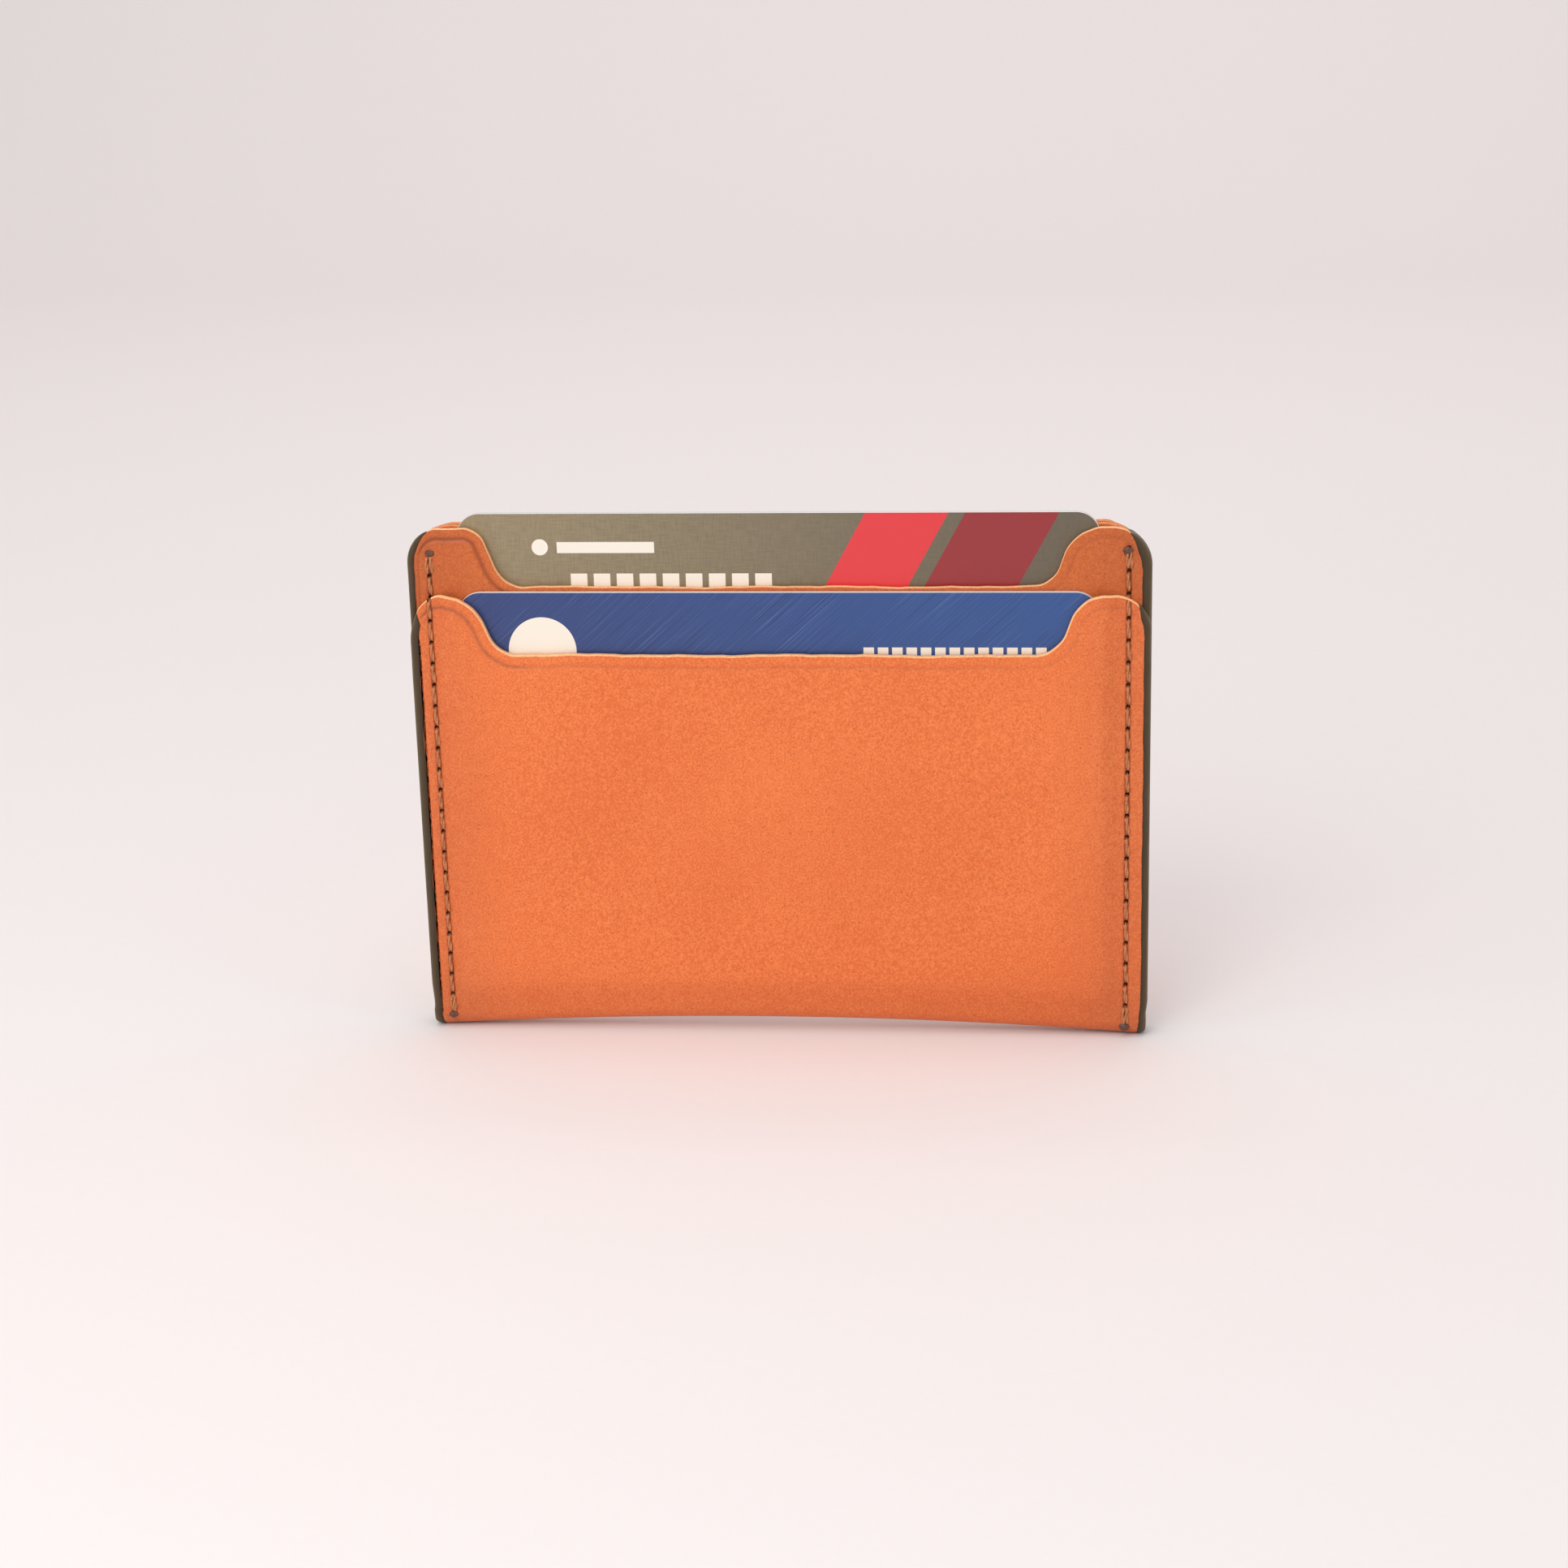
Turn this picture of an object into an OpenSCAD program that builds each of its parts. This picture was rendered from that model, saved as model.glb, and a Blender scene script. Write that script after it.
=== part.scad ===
// Leather card holder: one folded outer piece, a second pocket and a divider,
// cemented and saddle stitched along both sides, holding two standard cards.
// It stands upright: X to the right, Y to the rear, Z up. The origin is the
// middle of the underside, with half of the side seam in front of it.

/* [Cards] */
// Width of a card, which sets the holder's width
card_w = 85.6; // [68:0.1:108]
// Height of a card, which sets the holder's height
card_h = 53.98; // [42:0.01:68]
// Thickness of a card
card_t = 0.76; // [0.6:0.01:1.1]
// Corner radius of a card
card_r = 3.18; // [2:0.01:5]
// Thickness of a card's face film and back film
film_t = 0.06; // [0.04:0.01:0.1]

/* [Leather] */
// Thickness of the leather
leather_t = 1.1; // [0.8:0.05:1.6]
// Distance from a card's side edge to the holder's side edge
side_margin = 6.8; // [5.6:0.1:12]
// Width of the cemented seam along each side
seam_w = 4.6; // [3.9:0.1:5.6]
// Thickness of a film of cement
glue_t = 0.1; // [0.05:0.01:0.2]
// Gap between a card's face and the leather
card_clear = 0.1; // [0.05:0.01:0.3]
// Gap between a card's edges and the place where the leather bends in
edge_clear = 0.4; // [0.2:0.05:0.8]
// Open gap of the centre slot
slot_gap = 0.42; // [0.2:0.01:1.5]

/* [Pockets] */
// Height of the front card's lower edge above the underside
front_card_z = 8.4; // [7:0.1:12]
// Height of the front card that shows above the front pocket's mouth
front_show = 8.3; // [4:0.1:14]
// Height of the rear card that shows above the second pocket's mouth
rear_show = 9.8; // [4:0.1:14]
// Height of the second pocket's mouth above the front pocket's mouth
pocket_step = 8.8; // [7:0.1:12]
// Width of the cement line that makes the second pocket's floor
floor_glue_w = 3.5; // [2:0.1:5]

/* [Ears] */
// Height of the ears above the mouth between them
ear_h = 8; // [6:0.1:9.8]
// Radius of an ear's outer corner
ear_corner_r = 4.5; // [3:0.1:6]
// Length of the straight stretch on top of an ear
ear_flat = 0.7; // [0.3:0.1:4]
// Radius of the curve that rolls off an ear's top
hump_r = 6; // [4:0.1:8]
// Radius of the hollow that runs down into the mouth
hollow_r = 4; // [3:0.1:6]

/* [Fold] */
// Rise of the fold's middle above its two ends
fold_bow = 1.6; // [0.8:0.1:2.2]
// Height above the fold's round at which the leather starts to bend out
fold_straight = 1.2; // [0.4:0.1:1.6]
// Height over which the divider bends back behind the rear card
bend_len = 1.8; // [1:0.1:4]
// Radius of the lower corners
corner_r = 2; // [1.3:0.1:3]

/* [Edges] */
// Depth of the dyed and burnished edge
coat_d = 1.2; // [0.8:0.05:1.5]

/* [Stitching] */
// Distance between neighbouring stitch holes
stitch_pitch = 3; // [2.4:0.1:4]
// Distance from the side edge to the row of stitch holes
stitch_inset = 3.05; // [2.5:0.05:3.7]
// Distance from the ears' tops down to the first stitch hole
first_hole_drop = 2.4; // [2:0.1:3]
// Radius of a stitch hole
hole_r = 0.45; // [0.38:0.01:0.55]
// Radius of the waxed thread
thread_r = 0.33; // [0.25:0.01:0.36]

/* [Card details] */
// Width of the chip's contact plate
chip_w = 13; // [10:0.1:14]
// Height of the chip's contact plate
chip_h = 11.8; // [10:0.1:13]
// Thickness of the chip's contact plate
chip_t = 0.2; // [0.12:0.01:0.24]
// Distance from the card's left edge to the contact plate
chip_from_left = 8.6; // [6:0.1:12]
// Distance from the card's top edge to the contact plate
chip_from_top = 18; // [15:0.1:20]
// Width of the potting under the contact plate
potting_w = 8; // [6:0.1:9]
// Depth of the potting under the contact plate
potting_t = 0.3; // [0.2:0.01:0.34]
// Height of the magnetic stripe
stripe_h = 12.7; // [9:0.1:14]
// Distance from the card's top edge to the magnetic stripe
stripe_from_top = 4.2; // [3:0.1:5]
// Width of the signature panel
sign_w = 60; // [40:1:64]
// Height of the signature panel
sign_h = 9; // [6:0.1:11]
// Distance from the magnetic stripe to the signature panel
sign_drop = 3; // [2:0.1:5]

/* [Hidden] */

$fn = 48;
fold_fn = 720;

// Heights
half_w = card_w / 2 + side_margin;
front_mouth_z = front_card_z + card_h - front_show;
front_ear_z = front_mouth_z + ear_h;
ear_z = front_ear_z + pocket_step;
mouth_z = ear_z - ear_h;
rear_card_z = mouth_z + rear_show - card_h;

// Depths: the front face of each layer in the seams, then behind a card
seam_half = (4 * leather_t + 3 * glue_t) / 2;
second_y = -seam_half + leather_t + glue_t;
divider_y = second_y + leather_t + glue_t;
card_room = card_t + 2 * card_clear;
front_rise = card_room - glue_t;
back_rise = front_rise + slot_gap - glue_t;
front_card_y = second_y - card_clear - card_t;
rear_card_y = second_y + leather_t + card_clear;

// Where the leather bends from the seam to the card's level
bend_out_x = half_w - seam_w;
bend_in_x = card_w / 2 + edge_clear;
bend_low = seam_half + fold_straight;
front_bend_top = front_card_z - edge_clear - fold_bow;
floor_bend_top = rear_card_z - edge_clear;
floor_bend_low = floor_bend_top - bend_len;
back_bend_top = floor_bend_low - fold_bow;

// How far a cutting shape runs past what it cuts
over = 5;
through = 4 * seam_half;

// The fold runs on an arc about an axis far below the holder
fold_reach = half_w - corner_r;
fold_r = (fold_reach * fold_reach + fold_bow * fold_bow) / (2 * fold_bow);
fold_angle = 2 * asin((half_w + over) / fold_r);

// Stitch holes, counted from the top
row_x = half_w - stitch_inset;
first_hole_z = ear_z - first_hole_drop;
lowest_hole_z = seam_half - hole_r;
hole_count = floor((first_hole_z - lowest_hole_z) / stitch_pitch) + 1;
ear_side_drop = ear_corner_r - sqrt(pow(ear_corner_r, 2) - pow(ear_corner_r - stitch_inset, 2));
front_edge_z = front_ear_z - ear_side_drop;
function hole_z(i) = first_hole_z - i * stitch_pitch;
function in_front_pocket(i) = hole_z(i) + hole_r < front_edge_z;
front_holes = [for (i = [0:hole_count - 1]) if (in_front_pocket(i)) i];
wrap_hole = front_holes[0] - 1;

// Extrudes an outline drawn in X and Z from y0 to y1
module slab(y0, y1) {
    translate([0, y1, 0]) rotate([90, 0, 0]) linear_extrude(y1 - y0) children();
}

// Turns a profile, drawn as distance from the axis and depth, into the bowed fold
module along_fold() {
    translate([0, 0, fold_bow - fold_r])
        rotate([-90, 0, 0])
            rotate([0, 0, 270 - fold_angle / 2])
                rotate_extrude(angle = fold_angle, $fn = fold_fn) children();
}

// Half of a panel's outline: one ear and its side, down to the lower corner
module half_outline(top_z, inset) {
    peak_x = ear_corner_r + ear_flat;
    hump = [peak_x, top_z - hump_r];
    rise = hump_r + hollow_r - ear_h;
    hollow = [peak_x + sqrt(pow(hump_r + hollow_r, 2) - pow(rise, 2)), top_z - ear_h + hollow_r];
    low_z = top_z - ear_h;
    translate([-half_w, 0]) {
        intersection() {
            translate([ear_corner_r, top_z - ear_corner_r]) circle(r = ear_corner_r - inset);
            square([ear_corner_r, top_z]);
        }
        translate([inset, corner_r]) square([peak_x - inset, top_z - ear_corner_r - corner_r]);
        translate([ear_corner_r, corner_r]) square([ear_flat, top_z - corner_r]);
        intersection() {
            translate(hump) circle(r = hump_r);
            translate([peak_x, corner_r]) square([hollow[0], top_z]);
        }
        difference() {
            polygon([[peak_x, low_z - 1], [hollow[0], low_z - 1], hollow, hump]);
            translate(hollow) circle(r = hollow_r);
        }
        translate([peak_x, corner_r]) square([half_w - peak_x, low_z - corner_r]);
        intersection() {
            translate([corner_r, corner_r]) circle(r = corner_r);
            translate([inset, 0]) square([corner_r, corner_r]);
        }
        translate([corner_r, -over]) square([half_w - corner_r, corner_r + over]);
    }
}

module outline(top_z, inset) {
    half_outline(top_z, inset);
    mirror([1, 0]) half_outline(top_z, inset);
}

// Solid space inside the folded leather's faces, at a given half thickness in the seams
module fold_space(half) {
    high = ear_z + over;
    intersection() {
        along_fold() {
            translate([fold_r + seam_half, 0]) circle(r = half);
            polygon([
                [fold_r + seam_half, -half],
                [fold_r + bend_low, -half],
                [fold_r + front_bend_top, -half - front_rise],
                [fold_r + high, -half - front_rise],
                [fold_r + high, half + back_rise],
                [fold_r + back_bend_top, half + back_rise],
                [fold_r + bend_low, half],
                [fold_r + seam_half, half]
            ]);
        }
        translate([0, 0, -over]) linear_extrude(high + 2 * over) polygon([
            [-half_w - 1, -half], [-bend_out_x, -half], [-bend_in_x, -half - front_rise],
            [bend_in_x, -half - front_rise], [bend_out_x, -half], [half_w + 1, -half],
            [half_w + 1, half], [bend_out_x, half], [bend_in_x, half + back_rise],
            [-bend_in_x, half + back_rise], [-bend_out_x, half], [-half_w - 1, half]
        ]);
    }
}

// Everything in front of the divider's front face, moved back by a thickness
module divider_space(back) {
    face = divider_y + back;
    front = -through;
    intersection() {
        translate([0, 0, -over]) linear_extrude(ear_z + 2 * over) polygon([
            [-half_w, front], [half_w, front], [half_w, face], [bend_out_x, face],
            [bend_in_x, face + front_rise], [-bend_in_x, face + front_rise],
            [-bend_out_x, face], [-half_w, face]
        ]);
        translate([-half_w, 0, 0]) rotate([90, 0, 90]) linear_extrude(2 * half_w) polygon([
            [front, -over], [face, -over], [face, floor_bend_low],
            [face + front_rise, floor_bend_top], [face + front_rise, ear_z + over],
            [front, ear_z + over]
        ]);
    }
}

// The round inside of the fold, which the inner layers end above
module below_inner_layers() {
    translate([0, 0, fold_bow - fold_r]) rotate([90, 0, 0])
        cylinder(r = fold_r + seam_half, h = through, center = true, $fn = fold_fn);
}

module stitch_bores() {
    for (side = [-1, 1], i = [0:hole_count - 1])
        translate([side * row_x, 0, hole_z(i)]) rotate([90, 0, 0])
            cylinder(r = hole_r, h = through, center = true);
}

module outer_wrap() color("#e2743f") difference() {
    intersection() {
        difference() {
            fold_space(seam_half);
            fold_space(seam_half - leather_t);
        }
        union() {
            slab(-through, 0) outline(front_ear_z, coat_d);
            slab(0, through) outline(ear_z, coat_d);
        }
    }
    stitch_bores();
}

module second_pocket() color("#cf6b39") difference() {
    slab(second_y, second_y + leather_t) outline(ear_z, coat_d);
    below_inner_layers();
    stitch_bores();
}

module divider() color("#c96534") difference() {
    intersection() {
        difference() {
            divider_space(leather_t);
            divider_space(0);
        }
        slab(-through, through) outline(ear_z, coat_d);
    }
    below_inner_layers();
    stitch_bores();
}

// One side's thread: a lead along each face, joined through every hole
module thread(side) color("#8a5230") translate([side * row_x, 0, 0]) {
    front = -seam_half - thread_r;
    step = second_y - thread_r;
    back = seam_half + thread_r;
    low = hole_z(hole_count - 1);
    translate([0, front, low]) cylinder(r = thread_r, h = hole_z(wrap_hole) - low, $fn = 24);
    translate([0, step, hole_z(wrap_hole)])
        cylinder(r = thread_r, h = first_hole_z - hole_z(wrap_hole), $fn = 24);
    translate([0, back, low]) cylinder(r = thread_r, h = first_hole_z - low, $fn = 24);
    for (i = [0:hole_count - 1])
        let (start = i >= wrap_hole ? front : step)
            translate([0, back, hole_z(i)]) rotate([90, 0, 0])
                cylinder(r = thread_r, h = back - start, $fn = 24);
}

// Section of a burnished edge, with its root at x = 0 and its rounded face towards -x
module coat_section(y0, y1) {
    intersection() {
        translate([-coat_d, y0]) square([coat_d, y1 - y0]);
        union() {
            translate([0, y0 + coat_d]) circle(r = coat_d);
            translate([0, y1 - coat_d]) circle(r = coat_d);
            translate([-coat_d, y0 + coat_d]) square([coat_d, y1 - y0 - 2 * coat_d]);
        }
    }
}

// The straight run of a burnished edge, up to an ear's outer corner
module coat_side(top_z, y0, y1) {
    translate([coat_d - half_w, 0, 0])
        linear_extrude(top_z - ear_corner_r) coat_section(y0, y1);
}

// Its bend around an ear's outer corner
module coat_corner(top_z, y0, y1) {
    translate([ear_corner_r - half_w, 0, top_z - ear_corner_r])
        rotate([90, 0, 180]) rotate_extrude(angle = 90, $fn = 96)
            translate([ear_corner_r - coat_d, 0]) mirror([1, 0]) coat_section(y0, y1);
}

// One side's burnished edge: all four layers, then the three that stand above the front ear
module edge_coat() color("#5f5238") {
    intersection() {
        union() {
            coat_side(front_ear_z, -seam_half, seam_half);
            coat_side(ear_z, second_y, seam_half);
        }
        slab(-through, through) outline(ear_z, 0);
        fold_space(seam_half);
    }
    coat_corner(ear_z, second_y, seam_half);
    intersection() {
        coat_corner(front_ear_z, -seam_half, seam_half);
        slab(-seam_half, -seam_half + leather_t) outline(front_ear_z, 0);
    }
}

// One film of cement on the left side, between two layers
module seam_film(top_z, y0) {
    difference() {
        slab(y0, y0 + glue_t) intersection() {
            outline(top_z, coat_d);
            translate([-half_w, 0]) square([seam_w, ear_z]);
        }
        below_inner_layers();
        stitch_bores();
    }
}

module seam_cement() color("#d9b877") {
    seam_film(front_ear_z, second_y - glue_t);
    seam_film(ear_z, divider_y - glue_t);
    seam_film(ear_z, divider_y + leather_t);
}

module pocket_floor_cement() color("#d9b877")
    translate([-bend_in_x, divider_y - glue_t, floor_bend_low - floor_glue_w])
        cube([2 * bend_in_x, glue_t, floor_glue_w]);

// A card's outline, with its lower edge at z = 0
module card_outline() {
    for (x = [card_r - card_w / 2, card_w / 2 - card_r], z = [card_r, card_h - card_r])
        translate([x, z]) circle(r = card_r);
    translate([card_r - card_w / 2, 0]) square([card_w - 2 * card_r, card_h]);
    translate([-card_w / 2, card_r]) square([card_w, card_h - 2 * card_r]);
}

module chip_outline() {
    translate([chip_from_left - card_w / 2, card_h - chip_from_top - chip_h]) square([chip_w, chip_h]);
}

module potting_outline() {
    translate([chip_from_left + chip_w / 2 - card_w / 2, card_h - chip_from_top - chip_h / 2])
        square(potting_w, center = true);
}

module stripe_outline() {
    translate([-card_w / 2, card_h - stripe_from_top - stripe_h]) square([card_w, stripe_h]);
}

module sign_outline() {
    translate([card_r - card_w / 2, card_h - stripe_from_top - stripe_h - sign_drop - sign_h])
        square([sign_w, sign_h]);
}

// The pieces of one card, with the card's face at y = 0 and its lower edge at z = 0
module card_chip() {
    slab(0, chip_t) chip_outline();
    slab(chip_t, chip_t + potting_t) potting_outline();
}

module card_core() difference() {
    slab(film_t, card_t - film_t) card_outline();
    card_chip();
}

module card_face_film() difference() {
    slab(0, film_t) card_outline();
    card_chip();
}

module card_stripe() slab(card_t - film_t, card_t) stripe_outline();

module card_sign() slab(card_t - film_t, card_t) sign_outline();

module card_back_film() difference() {
    slab(card_t - film_t, card_t) card_outline();
    card_stripe();
    card_sign();
}

module place_front_card() translate([0, front_card_y, front_card_z]) children();
module place_rear_card() translate([0, rear_card_y, rear_card_z]) children();

module left_thread() thread(-1);
module right_thread() thread(1);
module left_edge_coat() edge_coat();
module right_edge_coat() mirror([1, 0, 0]) edge_coat();
module left_seam_cement() seam_cement();
module right_seam_cement() mirror([1, 0, 0]) seam_cement();

module front_card_core() color("#d8d6d0") place_front_card() card_core();
module front_card_face_film() color("#3a528c") place_front_card() card_face_film();
module front_card_back_film() color("#d5d8de") place_front_card() card_back_film();
module front_card_chip() color("#d3b264") place_front_card() card_chip();
module front_card_stripe() color("#2a2624") place_front_card() card_stripe();
module front_card_signature_panel() color("#f1efe8") place_front_card() card_sign();

module rear_card_core() color("#d8d6d0") place_rear_card() card_core();
module rear_card_face_film() color("#857660") place_rear_card() card_face_film();
module rear_card_back_film() color("#c9c3b8") place_rear_card() card_back_film();
module rear_card_chip() color("#c9ccd0") place_rear_card() card_chip();
module rear_card_stripe() color("#2a2624") place_rear_card() card_stripe();
module rear_card_signature_panel() color("#f1efe8") place_rear_card() card_sign();

outer_wrap();
second_pocket();
divider();
left_thread();
right_thread();
left_edge_coat();
right_edge_coat();
left_seam_cement();
right_seam_cement();
pocket_floor_cement();
front_card_core();
front_card_face_film();
front_card_back_film();
front_card_chip();
front_card_stripe();
front_card_signature_panel();
rear_card_core();
rear_card_face_film();
rear_card_back_film();
rear_card_chip();
rear_card_stripe();
rear_card_signature_panel();
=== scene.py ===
"""Leather card holder with two cards, dressed around its CAD frame.

Sizes inside the script are in millimetres, and finish_mesh turns them into metres.
"""
import itertools
import math

import bmesh
import bpy
import numpy as np
from mathutils import Matrix, Vector


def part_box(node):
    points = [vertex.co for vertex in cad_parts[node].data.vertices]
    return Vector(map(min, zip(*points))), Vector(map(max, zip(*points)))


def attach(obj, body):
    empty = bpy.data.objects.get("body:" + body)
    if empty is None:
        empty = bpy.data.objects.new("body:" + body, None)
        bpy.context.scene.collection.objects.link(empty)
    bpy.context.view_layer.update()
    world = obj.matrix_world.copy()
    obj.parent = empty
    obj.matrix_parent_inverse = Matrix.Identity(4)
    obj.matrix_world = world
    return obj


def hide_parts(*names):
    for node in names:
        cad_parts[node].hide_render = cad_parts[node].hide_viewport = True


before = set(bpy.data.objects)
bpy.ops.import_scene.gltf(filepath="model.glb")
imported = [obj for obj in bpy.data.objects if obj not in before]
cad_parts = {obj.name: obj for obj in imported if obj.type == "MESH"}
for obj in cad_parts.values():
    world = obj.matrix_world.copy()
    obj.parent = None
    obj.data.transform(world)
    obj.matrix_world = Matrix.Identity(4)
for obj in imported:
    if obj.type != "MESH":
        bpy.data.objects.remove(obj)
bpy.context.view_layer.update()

# ---------------------------------------------------------------- sizes, in millimetres

MM = 0.001


def box_mm(node_name):
    """A CAD node's lowest and highest corners, in millimetres."""
    low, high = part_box(node_name)
    return low / MM, high / MM


wrap_low, wrap_high = box_mm("outer_wrap")
pocket_low, pocket_high = box_mm("second_pocket")
divider_low, _ = box_mm("divider")
coat_low, coat_high = box_mm("left_edge_coat")
front_card_low, front_card_high = box_mm("front_card_core")
rear_card_low, _ = box_mm("rear_card_core")

LEATHER = pocket_high.y - pocket_low.y
HALF_W = -coat_low.x
COAT = HALF_W - pocket_high.x
SEAM = coat_high.y                       # half of the seam's four layers
TOP = pocket_high.z
FRONT_RISE = -SEAM - wrap_low.y          # how far the card pushes the front out
BACK_RISE = wrap_high.y - SEAM
CARD_EDGE = front_card_high.x
CARD_H = front_card_high.z - front_card_low.z
CARD_CORNER = 3.18                       # the corner radius that ID cards share
TRIM = 0.05                              # the white margin that the punch leaves

# Sizes that the CAD model also states
EAR_H = 8.0
FRONT_SHOW = 8.3
SEAM_W = 4.6
FOLD_BOW = 1.6
LOWER_CORNER = 2.0
STITCH_PITCH = 3.0
STITCH_INSET = 3.05
FIRST_DROP = 2.4
GLUE = 0.1                               # the cement between two layers

FRONT_TOP = front_card_high.z - FRONT_SHOW + EAR_H
BEND_OUT = HALF_W - SEAM_W + 0.9         # leather bends softly, over all that the card leaves it
BEND_IN = CARD_EDGE + 0.1
FRONT_BEND = (SEAM - 0.6, front_card_low.z - FOLD_BOW - 0.1)
DIVIDER_BEND = (rear_card_low.z - 2.6, rear_card_low.z - 0.1)
BACK_BEND = (SEAM - 0.6, DIVIDER_BEND[0] - FOLD_BOW)
FOLD_REACH = HALF_W - LOWER_CORNER
FOLD_R = (FOLD_REACH ** 2 + FOLD_BOW ** 2) / (2 * FOLD_BOW)
ROW_X = HALF_W - STITCH_INSET
HOLE_COUNT = int((TOP - FIRST_DROP - SEAM) / STITCH_PITCH) + 1
OVER_EDGE = int((TOP - FIRST_DROP - FRONT_TOP) / STITCH_PITCH)     # last hole above the front ear


class Row:
    """One side's stitch holes, marked with a pricking iron, so each row starts and steps by itself."""

    def __init__(self, side, late, pitch):
        self.x, self.first, self.pitch = side * ROW_X, TOP - FIRST_DROP - late, pitch
        self.holes = np.array([self.first - i * pitch for i in range(HOLE_COUNT)])


ROWS = {-1: Row(-1, 1.05, STITCH_PITCH - 0.03), 1: Row(1, 0.46, STITCH_PITCH + 0.02)}

# Each ear was cut by eye, so no two are alike. Each is given as its outer corner's width and
# height, how far in its flat top reaches, and the radii of its hump and its hollow; then the
# edge coat's depth there, and where round the corner it starts and ends to run out.
LEAN = math.radians(20)                  # of the short straight cut between hump and hollow
EARS = {
    "front": ((4.8, 6.8, 4.9, 6.0, 4.0, 1.15, 0.3, 0.49), (5.6, 4.9, 5.9, 4.9, 4.4, 0.9, 0.22, 0.58)),
    "second": ((4.4, 4.8, 7.8, 3.2, 4.2, 0.9, 0.3, 0.95), (5.6, 5.2, 6.2, 5.5, 4.0, 1.2, 0.25, 0.78)),
    "divider": ((5.2, 4.6, 6.2, 3.8, 4.2, 1.2, 0.3, 0.85), (6.0, 5.2, 6.3, 5.2, 4.0, 1.2, 0.25, 0.78)),
    "rear": ((6.0, 4.8, 6.4, 4.0, 4.2, 1.2, 0.3, 0.7), (6.5, 5.5, 6.8, 5.0, 4.0, 1.2, 0.25, 0.74)),
}

# Hand work that only the looks show
EDGE_ROUND = 0.2                         # rounding of a cut edge
FRONT_CREASE_IN = 1.65                   # crease line's distance from the front pocket's cut edge
SECOND_CREASE_IN = 1.4
RIGHT_EASE = 29.0                        # the creaser was pressed less past here, at the right
CREASE_DEEP, CREASE_HALF = 0.15, 0.3
LIP_IN, LIP_HIGH, LIP_HALF = 0.5, 0.06, 0.18       # the leather that the creaser pushed up
SIDE_LINES_IN = (1.05, 1.6)              # the creaser's lines down the side, from the edge
LINE_DEEP, LINE_HALF = 0.07, 0.14
GROOVE_DEEP, GROOVE_HALF = 0.1, 0.4      # the channel that the stitches lie in
PUCKER, PUCKER_HALF = 0.12, 0.5          # dip round each awl hole
CROWN = 0.3                              # how far the middle of a panel swells
SLIT_W, SLIT_H = 0.56, 0.74              # an awl hole, as the thread leaves it
SLIT_LEAN = math.radians(22)
PLY_R = 0.165                            # one of the thread's two plies
PLY_APART = 0.13                         # each ply's distance from the thread's middle
CHANNEL_HALF = 0.43                      # half of the band beside the thread, darkened as painted shade of the groove it lies in
CHANNEL_FOOT = 1.9                       # height where that channel ends
KNOT_DROP = {-1: -0.1, 1: 0.3}           # how far each row's top knot slipped under its hole
KNOT_SIZE = {-1: (1.25, 0.6, 0.9), 1: (1.4, 0.6, 1.15)}
FOOT_R = 1.1                             # the edge coat's lower corner
# How far each edge was sanded in near its foot, and the heights where that ends and starts
FOOT_WAIST = {-1: (0.2, 3.4, 7.0), 1: (0.3, 2.4, 5.2)}
FOOT_FLARE = 0.1                         # the wax's swell at the very foot
PROUD = 0.03                             # the edge wax's height over the leather's face
WAX_OVER = 0.1                           # how far the edge wax laps on to the leather's face
UNDER = 0.02                             # how far the front ear's wax stays inside the rest of the coat

# ---------------------------------------------------------------- node trees


def linear(hex_colour):
    """An sRGB hex colour as a linear RGBA colour."""
    out = []
    for i in (1, 3, 5):
        c = int(hex_colour[i:i + 2], 16) / 255
        out.append(c / 12.92 if c <= 0.04045 else ((c + 0.055) / 1.055) ** 2.4)
    return (*out, 1.0)


class Nodes:
    """A node tree, with a short way to write each kind of step."""

    def __init__(self, tree):
        self.tree = tree

    def feed(self, node, inputs):
        """Gives a node its inputs. Each is a value, a hex colour or a socket to link."""
        for key, value in inputs.items():
            if isinstance(value, bpy.types.NodeSocket):
                self.tree.links.new(value, node.inputs[key])
            elif isinstance(value, str) and value.startswith("#"):
                node.inputs[key].default_value = linear(value)
            else:
                node.inputs[key].default_value = value

    def add(self, kind, inputs=None, out=0, **settings):
        """Adds a node, and returns one of its outputs."""
        made = self.tree.nodes.new(kind)
        for key, value in settings.items():
            setattr(made, key, value)
        self.feed(made, inputs or {})
        return made.outputs[out]

    def maths(self, operation, a, b=0.0, clamp=False):
        return self.add("ShaderNodeMath", {0: a, 1: b}, operation=operation, use_clamp=clamp)

    def plus(self, a, b):
        return self.maths("ADD", a, b)

    def minus(self, a, b):
        return self.maths("SUBTRACT", a, b)

    def times(self, a, b):
        return self.maths("MULTIPLY", a, b)

    def size_of(self, a):
        return self.maths("ABSOLUTE", a)

    def either(self, a, b):
        return self.maths("MAXIMUM", a, b)

    def ramp(self, value, low, high, to_low=0.0, to_high=1.0, **how):
        return self.add("ShaderNodeMapRange", {0: value, 1: low, 2: high, 3: to_low, 4: to_high}, **how)


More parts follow.
